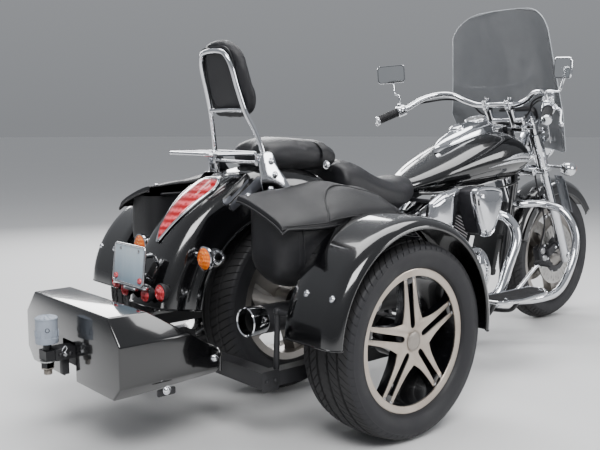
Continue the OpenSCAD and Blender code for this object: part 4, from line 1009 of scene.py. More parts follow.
tilt = Matrix.Translation((-0.216, 0, 0.968)) @ Matrix.Rotation(radians(-17), 4, "Y")
pad_rings = []
for depth, grow in ((0.004, -0.016), (0.006, -0.006), (0.012, 0), (0.03, 0.003), (0.04, 0), (0.047, -0.01),
        (0.0505, -0.024), (0.051, -0.05)):
    outline = []
    for k in range(44):
        a = 2 * pi * k / 44
        c, s = cos(a), sin(a)
        v = 0.13 + (0.13 + grow) * abs(s) ** (2 / 2.9) * (1 if s > 0 else -1)
        half = 0.122 - 0.014 * v / 0.26 + grow
        outline.append((depth, half * abs(c) ** (2 / 2.9) * (1 if c > 0 else -1), v))
    pad_rings.append([tuple(tilt @ Vector(p)) for p in outline])
cushion("backrest_cushion", pad_rings, "chassis", "backrest_pad", 4.0, 0.006,
    seams=[([tuple(tilt @ Vector((0.045, 0.088 * cos(a), 0.13 + 0.098 * sin(a))))
    for a in (k * pi / 8 for k in range(17))], 0.006, 0.003)])
back_plate = [tuple(tilt @ Vector((0.0015, y, z))) for y, z in rounded([(-0.092, 0.012), (0.092, 0.012),
    (0.082, 0.246), (-0.082, 0.246)], 0.04, 6)]
back_plate2 = [tuple(tilt @ Vector((0.0055, y, z))) for y, z in rounded([(-0.092, 0.012), (0.092, 0.012),
    (0.082, 0.246), (-0.082, 0.246)], 0.04, 6)]
# Moulded black: fine spark texture on the pad's back shell
moulded_black = surface("moulded_black", "131315", "202024", (0.45, 0.6), patch=0.05, grain=0.0009, bump=0.4)
make("backrest_shell", [(netted([back_plate, back_plate2]), moulded_black)], "chassis")

# ---- Rear mudguard ----
# Deep pressed steel mudguard over the driving wheel, lacquered black: a round crown, shoulders that roll
# into flat skirts, and a rolled band along the lower edge. A strut cover is bolted to each flank.
guard_centre = Vector((-0.08, 0, 0.31))


def polar(centre, r, angle, y):
    """A point at radius r and angle (degrees above forward) round a cross axis."""
    return Vector((centre.x + r * cos(radians(angle)), y, centre.z + r * sin(radians(angle))))


def guard_section(half, r, skirt, lip):
    """Half of a mudguard's section from the crest to its lower edge: (y, radius)."""
    return [(0, r), (half * 0.25, r - 0.0006), (half * 0.5, r - 0.003), (half * 0.7, r - 0.009),
        (half * 0.84, r - 0.019), (half * 0.93, r - 0.033), (half * 0.985, r - 0.052), (half, r - 0.075),
        (half, r - skirt + 0.034), (half + lip, r - skirt + 0.028), (half + lip, r - skirt)]


def swept_guard(centre, section, angles, thick, taper=None):
    """A closed sheet swept round an axle from a section (y, radius), with an inner face thick below it."""
    outer = [(-y, r) for y, r in reversed(section[1:])] + list(section)
    inner = []
    for i, (y, r) in enumerate(outer):
        a, b = outer[max(i - 1, 0)], outer[min(i + 1, len(outer) - 1)]
        ty, tr = b[0] - a[0], b[1] - a[1]
        n = hypot(ty, tr) or 1
        inner.append((y + tr / n * thick, r - ty / n * thick))
    loop = outer + inner[::-1]
    return netted([[polar(centre, r - (taper(a) if taper else 0), a, y) for y, r in loop] for a in angles])


angles = [62 + 109 * k / 72 for k in range(73)]
rear_shell = swept_guard(guard_centre, guard_section(0.114, 0.505, 0.15, 0.004), angles, 0.003)
edges = joined(*[pipe([polar(guard_centre, 0.3555, a, s * 0.1175) for a in angles[::3]], 0.0032, 8, 2)
    for s in (1, -1)], pipe([polar(guard_centre, r - 0.0015, 171, y) for y,
    r in [(-q, w) for q, w in reversed(guard_section(0.114, 0.505, 0.15, 0.004)[1:])]
    + guard_section(0.114, 0.505, 0.15, 0.004)], 0.0032, 8, 2))
make("rear_guard_shell", [(rear_shell, lacquer), (edges, lacquer)], "chassis", "rear_mudguard",
    angle=40)
# Strut covers: a black pad on each flank, with two long grey inlays running down towards the lamp
inlay_grey = surface("inlay_grey", "4A4B50", "5E6066", (0.28, 0.4), metal=0.7, patch=0.02, grain=0.0012,
    bump=0.15)


def flank(side, lift):
    """Lays (angle in degrees, radius) on the rear mudguard's flank."""
    def lay(angle, r):
        table = guard_section(0.114, 0.505, 0.15, 0.004)
        for (y0, r0), (y1, r1) in zip(table, table[1:]):
            if r1 <= r <= r0:
                y = y0 + (y1 - y0) * ((r0 - r) / max(r0 - r1, 1e-6))
                return polar(guard_centre, r + lift * 0.2, angle, side * (y + lift))
        return polar(guard_centre, r, angle, side * (0.114 + lift))
    return lay


pads, inlays = [], []
for side in (-1, 1):
    for a, b, r0, r1 in (((121.5, 0.464), (109.0, 0.49), 2.0, 2.6),
            ((120.0, 0.436), (103.0, 0.464), 2.2, 2.8)):
        def lane(grow, lift):
            put = flank(side, lift)
            d = Vector((b[0] - a[0], (b[1] - a[1]) * 120)).normalized()
            n = Vector((-d.y, d.x))
            ring = []
            for base, s, r in ((Vector((a[0], a[1] * 120)), -1, r0 + grow),
                    (Vector((b[0], b[1] * 120)), 1, r1 + grow)):
                for k in range(9):
                    t = -pi / 2 + pi * k / 8
                    q = base + (d * s * cos(t) + n * s * sin(t)) * r * 0.62
                    ring.append(put(q.x, q.y / 120))
            return ring
        pads.append(netted([lane(0.9, -0.002), lane(0.9, 0.0016), lane(0.55, 0.003)]))
        inlays.append(netted([lane(0.3, 0.0016), lane(0.2, 0.0042), lane(-0.5, 0.005)]))
make("strut_covers", [(joined(*pads), pocket_black), (joined(*inlays), inlay_grey)], "chassis")

# ---- Tail lamp ----
# A kite of clear red acrylic, ribbed inside, in a chromed frame along the mudguard's crest.
# Red lens: deep and glossy, with lighter facets where the prisms inside catch the lamp's mirror


def lens(name, dark, light, facet, stripes):
    """Coloured clear plastic: the prisms moulded inside are a bump, and the lighter cells and lines over them are
    a painted reflection of the lamp's mirror, under a smooth face.
    """
    finish, shader, place = new_finish(name)
    wire = finish.node_tree.links.new
    cells = add(finish, "ShaderNodeTexVoronoi", {"Scale": 1 / facet, "Randomness": 0.35}, Vector=place)
    lines = add(finish, "ShaderNodeTexWave", {"bands_direction": "Z", "Scale": 0.31 / stripes,
        "Distortion": 0.0}, Vector=place)
    prism_relief_and_painted_glints = add(finish, "ShaderNodeMath", {"operation": "MULTIPLY"}, n0=cells.outputs["Distance"],
        n1=lines.outputs["Fac"])
    # Painted reflection: the prism cells and lines are coloured lighter, as if lit from the mirror behind the lens
    wire(blended(finish, ranged(finish, prism_relief_and_painted_glints.outputs[0], 0, 1, 0.02, 0.5), dark, light),
        shader.inputs["Base Color"])
    wire(ranged(finish, lines.outputs["Fac"], 0.1, 0.22), shader.inputs["Roughness"])
    relief = add(finish, "ShaderNodeBump", {"Strength": 0.35, "Distance": 0.0006},
        Height=prism_relief_and_painted_glints.outputs[0])
    wire(relief.outputs[0], shader.inputs["Normal"])
    shader.inputs["IOR"].default_value = 1.49
    shader.inputs["Coat Weight"].default_value = 1.0
    shader.inputs["Coat Roughness"].default_value = 0.02
    shader.inputs["Subsurface Weight"].default_value = 0.25
    shader.inputs["Subsurface Radius"].default_value = (0.01, 0.003, 0.002)
    return finish


red_lens = lens("red_acrylic", "A80C14", "F0606A", 0.012, 0.022)
kite = [(-0.152, 0.003), (-0.12, 0.015), (-0.07, 0.0325), (-0.02, 0.048), (0.03, 0.0595), (0.072, 0.0655),
    (0.092, 0.062), (0.112, 0.053), (0.126, 0.042)]


def crest(s, y, lift):
    """A point over the mudguard's crest: s along it from the kite's middle, y across, lift outward."""
    drop = 0.0
    table = guard_section(0.114, 0.505, 0.15, 0.004)
    for (y0, r0), (y1, r1) in zip(table, table[1:]):
        if y0 <= abs(y) <= y1:
            drop = 0.505 - (r0 + (r1 - r0) * (abs(y) - y0) / max(y1 - y0, 1e-6))
            break
    return polar(guard_centre, 0.505 - drop + lift, 130 - degrees_of(s), y)


def degrees_of(s):
    return s / 0.505 * 180 / pi


lens_rows, fine = [], eased([(s, w, 0) for s, w in kite], 5)
for i, p in enumerate(fine):
    t = i / (len(fine) - 1)
    rise = 0.019 * min(1, 5 * t + 0.25) * min(1, 4 * (1 - t) + 0.35)
    ring = [crest(p.x, p.y * k, 0.003 + rise * (1 - k * k) ** 0.6)
        for k in (-1, -0.96, -0.85, -0.6, -0.3, 0, 0.3, 0.6, 0.85, 0.96, 1)]
    ring += [crest(p.x, p.y * k, 0.0004) for k in (0.9, 0, -0.9)]
    lens_rows.append(ring)
frame_line = [crest(p.x, p.y + 0.0015, 0.006) for p in fine] + [crest(0.131, 0.03, 0.008),
    crest(0.134, 0, 0.008), crest(0.131, -0.03, 0.008)]
frame_line += [crest(p.x, -p.y - 0.0015, 0.006) for p in reversed(fine)] + [crest(-0.157, 0, 0.006),
    crest(fine[0].x, fine[0].y + 0.0015, 0.006)]
rib = [pipe([crest(s, -w, 0.012), crest(s, -w * 0.5, 0.018), crest(s, 0, 0.0205), crest(s, w * 0.5, 0.018),
    crest(s, w, 0.012)], 0.0012, 6, 3) for s, w in ((-0.075, 0.022), (-0.035, 0.034), (0.012, 0.045),
    (0.055, 0.052), (0.095, 0.048))]
make("tail_lamp_lens", [(netted(lens_rows), red_lens), (joined(*rib), red_lens),
    (pipe(frame_line, 0.0048, 10, 1), chrome)], "chassis", "tail_lamp", angle=40)

# ---- Number plate and its bracket ----
# A blank pressed plate in a chromed frame, with a red reflector at each lower corner, on a chromed
# bracket bolted under the mudguard.
# Plate blue-white: reflective sheet, faintly streaked
plate_film, shader, place = new_finish("plate_film")
streak = add(plate_film, "ShaderNodeMapping", {"Scale": (1, 14, 2)}, Vector=place)
wash = add(plate_film, "ShaderNodeTexNoise", {"Scale": 5.0, "Detail": 4.0}, Vector=streak.outputs[0])
height = add(plate_film, "ShaderNodeSeparateXYZ", {}, Vector=place)
shade = add(plate_film, "ShaderNodeMath", {"operation": "MULTIPLY_ADD", 1: 0.45, 2: 0.0}, n0=wash.outputs[0])
total = add(plate_film, "ShaderNodeMath", {"operation": "ADD"}, n0=shade.outputs[0],
    n1=ranged(plate_film, height.outputs[2], 0.0, 0.7, 0.46, 0.58))
plate_film.node_tree.links.new(blended(plate_film, total.outputs[0], "7F9CB0", "C3CDD4"),
    shader.inputs["Base Color"])
plate_film.node_tree.links.new(ranged(plate_film, wash.outputs[0], 0.25, 0.42), shader.inputs["Roughness"])
plate_at = Vector((-0.612, 0, 0.52))
lie = Matrix.Translation(plate_at) @ Matrix.Rotation(radians(6), 4, "Y")
sheet = slab(rounded([(-0.09, -0.058), (0.09, -0.058), (0.09, 0.058), (-0.09, 0.058)], 0.01), 0.0016,
    lambda u, v, w: (-0.002 - w, u, v), 0.0005)
rim_line = [Vector((-0.0035, u, v)) for u, v in rounded([(-0.091, -0.06), (0.091, -0.06), (0.091, 0.06),
    (-0.091, 0.06)], 0.011, 5)]
rim_line.append(rim_line[0])
backing = slab(rounded([(-0.086, -0.055), (0.086, -0.055), (0.086, 0.055), (-0.086, 0.055)], 0.01), 0.004,
    lambda u, v, w: (0.002 + w, u, v), 0.001)
dots = joined(*[turned([(0, 0), (0.0095, 0), (0.0095, 0.003), (0.008, 0.0055), (0, 0.0065)],
    (-0.0036, s * 0.073, -0.043), (-1, 0, 0), 24) for s in (1, -1)])
plate_screws = joined(*[turned([(0, 0), (0.005, 0), (0.005, 0.002), (0.003, 0.003), (0, 0.003)],
    (-0.0036, s * 0.055, 0.046), (-1, 0, 0), 12) for s in (1, -1)])
channel = joined(block((0.01, 0, -0.064), (0.026, 0.188, 0.012), 0.004),
    block((0.024, 0, -0.072), (0.05, 0.06, 0.018), 0.004), block((0.012, 0, 0.0), (0.014, 0.034, 0.112),
    0.003))
arms = joined(pipe([(-0.604, 0, 0.54), (-0.535, 0, 0.54)], 0.008, 12, 1),
    pipe([(-0.606, 0, 0.478), (-0.5595, 0, 0.478)], 0.008, 12, 1))
make("plate_assembly", [(moved(sheet, lie), plate_film), (moved(pipe(rim_line, 0.0034, 10, 1), lie), chrome),
    (moved(backing, lie), moulded_black), (moved(dots, lie), red_lens), (moved(plate_screws, lie), milled),
    (moved(channel, lie), chrome), (arms, chrome)], "chassis", "number_plate", angle=40)

# ---- Rear lamps ----
# Chromed bullet housings with screwed-on lenses: amber at the sides, and two red each side below the
# plate, on a bent steel bar.
# Amber lens: the same painted prism reflection, as lighter orange cells and lines
amber_lens = lens("amber_acrylic", "E06408", "F88A24", 0.008, 0.012)


def bullet(at, axis, radius, depth, glass, housing=chrome):
    """A round lamp: domed lens, chromed rim and a bullet-shaped back."""
    r, d = radius, depth
    dome = turned([(0, 0.3 * r), (r * 0.35, 0.27 * r), (r * 0.65, 0.18 * r), (r * 0.85, 0.07 * r),
        (r * 0.9, -0.02 * r), (0, -0.02 * r)], at, axis, 40)
    rings = joined(*[turned([(q * r, 0.3 * r * (1 - (q / 0.95) ** 2) - 0.001),
        (q * r + 0.0006, 0.3 * r * (1 - (q / 0.95) ** 2) + 0.0012), (q * r + 0.0012,
        0.3 * r * (1 - (q / 0.95) ** 2) - 0.001)], at, axis, 32, closed=True) for q in (0.25, 0.48, 0.68)])
    back = turned([(r * 0.88, 0.06 * r), (r * 0.99, 0.02 * r), (r, -0.1 * r), (r * 0.99, -0.2 * r),
        (r * 0.95, -0.24 * r), (r * 0.86, -d * 0.45), (r * 0.66, -d * 0.75), (r * 0.38, -d * 0.94), (0, -d),
        (0, -0.1 * r), (r * 0.86, -0.1 * r)], at, axis, 40)
    return [(dome, glass), (rings, glass), (back, housing)]


lamp_parts = []
for side in (-1, 1):
    lamp_parts += bullet((-0.464, side * 0.192, 0.545), (-1, 0, 0), 0.039, 0.074, amber_lens)
    lamp_parts.append((pipe([(-0.432, side * 0.188, 0.545), (-0.436, side * 0.15, 0.546),
        (-0.438, side * 0.116, 0.547)], [0.012, 0.009, 0.01], 14, 4), chrome))
    for y, x, z, r in ((0.062, -0.597, 0.432, 0.027), (0.134, -0.587, 0.446, 0.03)):
        lamp_parts += bullet((x, side * y, z), (-1, 0, 0), r, 0.034, red_lens, moulded_black)
    lamp_parts.append((pipe([(-0.57, side * 0.03, 0.43), (-0.572, side * 0.062, 0.432),
        (-0.566, side * 0.134, 0.446)], 0.007, 12, 4), moulded_black))
make("rear_lamp_set", lamp_parts, "chassis", "rear_lamps", angle=40)

# ---- Backrest hoop and luggage rack ----
# Bent chromed bar held by a laser-cut plate on each side of the seat; the rack is welded from the same
# bar and bolted to the plates.
hoop = [(-0.172, 0.137, 0.74), (-0.186, 0.137, 0.845), (-0.206, 0.12, 0.925), (-0.232, 0.097, 0.995),
    (-0.256, 0.088, 1.07), (-0.277, 0.083, 1.14), (-0.288, 0.064, 1.178), (-0.292, 0.03, 1.189)]
hoop = [Vector(p) for p in hoop]
hoop += [Vector((p.x, -p.y, p.z)) for p in reversed(hoop)]
plates, bolts = [], []
for side in (-1, 1):
    outline = rounded([(-0.214, 0.838), (-0.196, 0.864), (-0.158, 0.862), (-0.14, 0.815), (-0.1, 0.77),
        (-0.06, 0.716), (-0.072, 0.702), (-0.19, 0.706), (-0.206, 0.76)], 0.014, 4)
    plates.append(slab(outline, 0.008, side_on(0.1415, side), 0.0025))
    bolts += [dome_nut((x, side * 0.1495, z), (0, side, 0), 0.0095, 0.009) for x,
        z in ((-0.166, 0.832), (-0.15, 0.787), (-0.168, 0.74))]
    bolts.append(pipe([(-0.112, side * 0.1185, 0.712), (-0.112, side * 0.142, 0.712)], 0.008, 12, 1))
cross = pipe([(-0.234, -0.097, 0.998), (-0.24, 0, 1.000), (-0.234, 0.097, 0.998)], 0.007, 12, 4)
make("backrest_hoop", [(pipe(hoop, 0.0085, 18, 8), chrome), (joined(*plates), chrome),
    (joined(*bolts), chrome), (cross, chrome)], "chassis", "backrest_bar")
rim_bar = [Vector((x, y, 0.858)) for x, y in rounded([(-0.392, -0.119), (-0.196, -0.122), (-0.196, 0.122),
    (-0.392, 0.119)], 0.028, 5)]
rim_bar.append(rim_bar[0])
slat = slab(rounded([(-0.386, -0.011), (-0.202, -0.011), (-0.202, 0.011), (-0.386, 0.011)], 0.006), 0.004,
    lambda u, v, w: (u, v - 0.088, 0.8555 + w), 0.0012)
slat_row = repeated(slat, chrome, 5, step=(0, 0.044, 0))
feet = both(joined(block((-0.195, 0.1195, 0.836), (0.022, 0.016, 0.04), 0.003),
    dome_nut((-0.195, 0.1275, 0.83), (0, 1, 0), 0.006, 0.006)))
brace = pipe([(-0.2, -0.12, 0.828), (-0.2, 0, 0.826), (-0.2, 0.12, 0.828)], 0.006, 12, 3)
make("rack", [(pipe(rim_bar, 0.006, 14, 1), chrome), (slat_row, chrome), (feet, chrome), (brace, chrome)],
    "chassis", "luggage_rack")

# ---- Saddlebags and their lids ----
# Thick black cowhide over stiff liners: a rounded body with a piped gusset, open at the top, and a
# crowned lid that hinges on its inner edge and droops over the outer side.
bag_hide = hide("bag_hide", "0C0C0F", "17171B", (0.36, 0.52), 0.0034, 0.45)
liner = surface("bag_liner", "0E0E10", "19191B", (0.8, 0.95), patch=0.03, grain=0.0015, bump=0.5)


# Section of the lid at its rear end, over its ridge and at its front end: (y, z) from hinge to lower edge
lid_sections = [(-0.384, [(0.2565, 0.7335), (0.262, 0.7375), (0.3, 0.73), (0.345, 0.717), (0.39, 0.701),
    (0.425, 0.687), (0.45, 0.675), (0.463, 0.666), (0.468, 0.66), (0.47, 0.654)]),
    (-0.25, [(0.2565, 0.74), (0.264, 0.75), (0.3, 0.748), (0.345, 0.737), (0.392, 0.72), (0.432, 0.701),
    (0.46, 0.682), (0.473, 0.669), (0.477, 0.66), (0.478, 0.65)]), (-0.08,
    [(0.2565, 0.756), (0.266, 0.769), (0.3, 0.7715), (0.345, 0.764), (0.394, 0.745), (0.438, 0.719),
    (0.466, 0.695), (0.479, 0.679), (0.4825, 0.669), (0.483, 0.658)]),
    (0.06, [(0.2565, 0.737), (0.264, 0.746), (0.3, 0.749), (0.345, 0.744), (0.394, 0.729), (0.438, 0.708),
    (0.466, 0.689), (0.478, 0.676), (0.4805, 0.667), (0.4805, 0.66)]),
    (0.114, [(0.2565, 0.713), (0.262, 0.718), (0.3, 0.718), (0.345, 0.714), (0.39, 0.705), (0.43, 0.693),
    (0.455, 0.682), (0.466, 0.674), (0.47, 0.668), (0.47, 0.663)])]
# Where the padded outer panel is sewn on: (x, share of the way from the hinge to the lower edge)
panel_seam = [(-0.215, 0.86), (-0.2, 0.68), (-0.17, 0.5), (-0.125, 0.4), (-0.07, 0.365), (-0.01, 0.365),
    (0.04, 0.395), (0.072, 0.48), (0.088, 0.62), (0.096, 0.86)]


def smooth_between(points, t):
    """A point on the smooth curve through points, t from 0 to 1."""
    t = min(max(t, 0), 1) * (len(points) - 1)
    i = min(int(t), len(points) - 2)
    t -= i
    p0, p1, p2, p3 = (Vector(points[max(0, min(len(points) - 1, i + k))]) for k in (-1, 0, 1, 2))
    return 0.5 * (2 * p1 + t * (p2 - p0) + t * t * (2 * p0 - 5 * p1 + 4 * p2 - p3)
        + t ** 3 * (3 * p1 - p0 - 3 * p2 + p3))


def lid_point(x, v, side, lift=0.0):
    """The lid's surface: x along it, v from 0 at the hinge to 1 at the drooping outer edge."""
    for (x0, a), (x1, b) in zip(lid_sections, lid_sections[1:]):
        if x <= x1 or x1 == 0.114:
            t = min(max((x - x0) / (x1 - x0), 0), 1)
            break
    t = t * t * (3 - 2 * t)
    p = smooth_between(a, v).lerp(smooth_between(b, v), t)
    # The outer panel is padded, and stands proud inside its seam
    near = 1.0
    for (xa, va), (xb, vb) in zip(panel_seam, panel_seam[1:]):
        if xa <= x <= xb:
            edge_v = va + (vb - va) * (x - xa) / (xb - xa)
            near = min(1, max(0, (v - edge_v) / 0.1)) * min(1, max(0, (0.9 - v) / 0.05)) * min(1,
                (x + 0.215) / 0.02) * min(1, (0.096 - x) / 0.015)
            p += Vector((0.003, 0.0065)) * near * (2 - near)
            break
    return Vector((x, side * (p.x + lift * 0.4), p.y + lift))


def mouth_height(x, y):
    """How high the bag may stand at (x, y) to stay under its lid."""
    for step in range(41):
        p = lid_point(x, step / 40, 1)
        if p.y >= y:
            return min(0.6985, p.z - 0.011)
    return min(0.6985, p.z - 0.004)


def bag_ring(z, side, inset=0.0, count=56):
    """One level of the bag: a rounded rectangle that sags outward half way down and tucks in at the bottom."""
    t = (z - 0.465) / 0.235
    tuck = 0.07 * max(0, 1 - t / 0.42) ** 2.2
    x0, x1 = -0.37 + tuck * 1.05 + inset, 0.096 - tuck * 0.9 - inset
    y0 = 0.258 + tuck * 0.45 + inset
    y1 = 0.452 + 0.013 * sin(pi * min(1, t * 1.05)) - tuck * 0.75 - inset
    cx, cy, a, b = (x0 + x1) / 2, (y0 + y1) / 2, (x1 - x0) / 2, (y1 - y0) / 2
    ring = []
    for k in range(count):
        angle = 2 * pi * k / count
        c, s = cos(angle), sin(angle)
        u = a * abs(c) ** 0.5 * (1 if c > 0 else -1)
        v = b * abs(s) ** 0.5 * (1 if s > 0 else -1)
        # The outer face bellies a little between its corners
        belly = 0.006 * (1 - (u / a) ** 2) if v > 0 else 0
        x, y = cx + u, cy + v + belly - 0.003
        ring.append((x, side * y, 0.465 + (z - 0.465) * (mouth_height(x, y) - 0.465) / 0.2335))
    return ring


for side, word in ((-1, "right"), (1, "left")):
    levels = [0.4655, 0.468, 0.474, 0.484, 0.5, 0.52, 0.545, 0.575, 0.61, 0.645, 0.675, 0.692, 0.6985]
    rows = [bag_ring(0.4652, side, 0.05)] + [bag_ring(z, side) for z in levels] + [bag_ring(0.7, side, 0.003)]
    inner = [bag_ring(z, side, 0.0065) for z in (0.697, 0.66, 0.6, 0.55, 0.51, 0.49,
        0.48)] + [bag_ring(0.4765, side, 0.05)]
    # Piping where the outer panel is sewn to the gusset, down the rear corner and along the bottom
    def edge_of(z, k):
        p = bag_ring(z, side)[k]
        return Vector(p)
    piping = []
    for k in (18, 10):
        line = [edge_of(z, k) for z in (0.696, 0.66, 0.62, 0.575, 0.53, 0.5, 0.484, 0.474)]
        piping.append(pipe(line, 0.0028, 8, 4))
    stitch = []
    for k in (19, 9):
        line = eased([edge_of(z, k) for z in (0.69, 0.66, 0.62, 0.575, 0.53, 0.5, 0.488)], 6)
        stitch += [pipe([line[i], line[i] * 0.4 + line[i + 1] * 0.6], 0.0011, 6, 1)
            for i in range(0, len(line) - 1)]
    hanger = joined(*[pipe([(x, side * 0.1185, 0.69), (x, side * 0.259, 0.69)], 0.009, 14, 1)
        for x in (-0.2, 0.04)])
    make(word + "_bag_body", [(netted(rows, caps=False), bag_hide),
        (netted([rows[-1]] + inner, caps=False), liner), ((rows[0], [tuple(range(len(rows[0])))]), bag_hide),
        ((inner[-1], [tuple(range(len(inner[-1])))]), liner), (joined(*piping), bag_hide),
        (joined(*stitch), thread), (hanger, casting)], "chassis", word + "_saddlebag",
        angle=60)
    xs = [-0.384, -0.378, -0.366, -0.35, -0.33, -0.305, -0.28, -0.255, -0.23, -0.2149, -0.205, -0.19, -0.17,
        -0.145, -0.115, -0.08, -0.045, -0.01, 0.02, 0.045, 0.065, 0.08, 0.089, 0.0959, 0.104, 0.11, 0.114]
    vs = [k / 45 for k in range(46)]
    top = [[lid_point(x, v, side) for v in vs] for x in xs]
    droop = [[Vector((top[0][j].x - 0.0035 * sin(t * pi / 2), p.y, p.z - 0.016 * t)) for j,
        p in enumerate(top[0])] for t in (1.0, 0.55, 0.2)]
    tail_droop = [[Vector((p.x + 0.0035 * sin(t * pi / 2), p.y, p.z - 0.018 * t)) for p in top[-1]]
        for t in (0.2, 0.55, 1.0)]
    skin = netted(droop + top + tail_droop, loop=False)
    lid = make(word + "_bag_lid_hide", [(skin, bag_hide)], word + "_lid", word + "_bag_lid",
        angle=180)
    wall = lid.modifiers.new("thickness", "SOLIDIFY")
    wall.thickness, wall.offset = 0.004, -1
    # Piping round the free edge, the sewn seam that curves over the lid, and its chrome snap
    rim = droop[0][0:45:3] + [lid_point(x, 1, side) for x in xs[2:-2]] + tail_droop[-1][44::-3]
    rim = [p + Vector((0, side * 0.0008, -0.001)) for p in rim]
    seam_path = [lid_point(p.x, p.y, side, 0.0006) for p in eased([(a, b, 0) for a, b in panel_seam], 6)]
    low_seam = [lid_point(x, 0.875, side, 0.0012) for x in xs[2:-2]]
    snap = lid_point(-0.352, 0.13, side)
    studs = turned([(0, 0), (0.0075, 0), (0.008, 0.0015), (0.006, 0.0042), (0.003, 0.0054), (0, 0.0056)],
        snap, (-0.1, side * 0.25, 1), 24)
    dashes = []
    for shift, path in ((0.0056, seam_path), (-0.005, low_seam)):
        fine = eased([p + Vector((0, side * shift, 0.0012 - shift * 0.45)) for p in path], 2)
        dashes += [pipe([fine[i], fine[i] * 0.35 + fine[i + 1] * 0.65], 0.0009, 6, 1)
            for i in range(len(fine) - 1)]
    hinge = pipe([(-0.34, side * 0.2535, 0.7075), (0.06, side * 0.2535, 0.7075)], 0.0045, 12, 1)
    make(word + "_lid_trim", [(pipe(rim, 0.0036, 10, 1), bag_hide),
        (pipe(seam_path, 0.0032, 10, 1), bag_hide), (pipe(low_seam, 0.0018, 8, 1), bag_hide), (studs, chrome),
        (joined(*dashes), thread), (hinge, casting)], word + "_lid")

# ---- Outrigger beams and arms ----
# Square steel tube, laser-cut and welded, powder-coated satin black and a little dusty from the road.
# Powder coat: satin black with a fine orange peel and pale road dust in patches
powder = surface("powder_coat", "121214", "242427", (0.42, 0.62), patch=0.09, grain=0.0022, bump=0.3)
refinish(powder, "outrigger_beams", "outrigger_arms")
plates = []
for x in (0.345, -0.445):
    for side in (-1, 1):
        plates.append(slab(rounded([(x - 0.006, 0.184), (x + 0.056, 0.184), (x + 0.056, 0.246),
            (x - 0.006, 0.246)], 0.008), 0.004, side_on(0.455, side), 0.001))
        plates += [dome_nut((x + a, side * 0.459, z), (0, side, 0), 0.006, 0.007) for a,
            z in ((0.01, 0.215), (0.04, 0.215))]
make("beam_end_plates", [(joined(*plates), powder)], "chassis")

# ---- Outboard mudguards ----
# Rolled steel, lacquered black: a flat crown that turns down into a broad rolled lip round the wheel
# opening, bolted to the arms with chromed domed nuts.
arch = Vector((-0.045, 0, 0.328))
arch_section = [(0.494, 0.342), (0.4925, 0.348), (0.4935, 0.3535), (0.4975, 0.3558), (0.54, 0.356),
    (0.64, 0.356), (0.662, 0.3552), (0.678, 0.352), (0.689, 0.3462), (0.6968, 0.3385), (0.701, 0.331),
    (0.702, 0.3262), (0.7, 0.3225), (0.695, 0.3212), (0.6905, 0.3235), (0.6895, 0.3275)]
arch_angles = [-6 + 183 * k / 96 for k in range(97)]
for side, word in ((-1, "right"), (1, "left")):
    section, inner = arch_section, []
    for i, (y, r) in enumerate(section):
        a, b = section[max(i - 1, 0)], section[min(i + 1, len(section) - 1)]
        n = hypot(b[0] - a[0], b[1] - a[1])
        inner.append((y + (b[1] - a[1]) / n * 0.0028, r - (b[0] - a[0]) / n * 0.0028))
    loop = section[:13] + inner[:11][::-1]
    rows = [[polar(arch, r, a, side * y) for y, r in loop] for a in arch_angles]
    roll = pipe([polar(arch, 0.3262, a, side * 0.6965) for a in arch_angles[::2]], 0.006, 12, 2)
    back_edge = [pipe([polar(arch, r - 0.0014, a, side * y) for y, r in section[2:13]], 0.003, 8, 2)
        for a in (-6, 177)]
    nuts = [dome_nut(polar(arch, 0.3562, 154.5, side * y), (cos(radians(154.5)), 0, sin(radians(154.5))),
        0.0085, 0.0075) for y in (0.6585, 0.5535)]
    nuts += [dome_nut(polar(arch, 0.3562, 12, side * y), (cos(radians(12)), 0, sin(radians(12))), 0.0085,
        0.0075) for y in (0.6585, 0.5535)]
    make(word + "_outboard_guard", [(netted(rows), lacquer), (roll, lacquer), (joined(*back_edge), lacquer),
        (joined(*nuts), chrome)], "chassis", word + "_outboard_mudguard", angle=40)

# ---- Tow cover ----
# Folded and welded sheet steel in gloss black, its corners cut off at an angle and its edges rounded
# in the brake; open below, with a rolled front edge and a slot for the drawbar.
form = bmesh.new()
rear_outline = [(-0.241, 0.425), (0.241, 0.425), (0.305, 0.355), (0.305, 0.236), (0.265, 0.194),
    (-0.265, 0.194), (-0.305, 0.236), (-0.305, 0.355)]
face = form.faces.new([form.verts.new((-0.822 + AXLE_X, y, z)) for y, z in rear_outline])
for v in bmesh.ops.extrude_face_region(form, geom=[face])["geom"]:
    if isinstance(v, bmesh.types.BMVert):
        v.co.x = -0.422 + AXLE_X
for point, normal in (((-0.7, 0, 0.4265), (0.549, 0, 0.836)), ((-0.822, 0, 0.19), (0.078, 0, -0.997)),
        ((-0.49, 0, 0), (1, 0, 0))):
    cut = bmesh.ops.bisect_plane(form, geom=form.verts[:] + form.edges[:] + form.faces[:],
        plane_co=Vector(point) + Vector((AXLE_X, 0, 0)), plane_no=normal, clear_outer=True)
    bmesh.ops.holes_fill(form, edges=[e for e in form.edges if e.is_boundary], sides=0)
bmesh.ops.recalc_face_normals(form, faces=form.faces)
bmesh.ops.bevel(form, geom=[e for e in form.edges if e.calc_face_angle() > radians(8)], offset=0.0055,
    segments=3, profile=0.5, affect="EDGES", clamp_overlap=True)
below = [f for f in form.faces if f.normal.z < -0.9]
bmesh.ops.delete(form, geom=below, context="FACES")
mesh = bpy.data.meshes.new("tow_cover_sheet")
form.to_mesh(mesh)
form.free()
mesh.materials.append(lacquer)
tow_sheet = bpy.data.objects.new("tow_cover_sheet", mesh)
bpy.context.scene.collection.objects.link(tow_sheet)
wall = tow_sheet.modifiers.new("thickness", "SOLIDIFY")
wall.thickness, wall.offset = 0.004, -1
slot_mesh = bpy.data.meshes.new("slot")
slot_points, slot_faces = block((-0.815 + AXLE_X, 0, 0.232), (0.04, 0.084, 0.166), 0.006)
slot_mesh.from_pydata(slot_points, [], slot_faces)
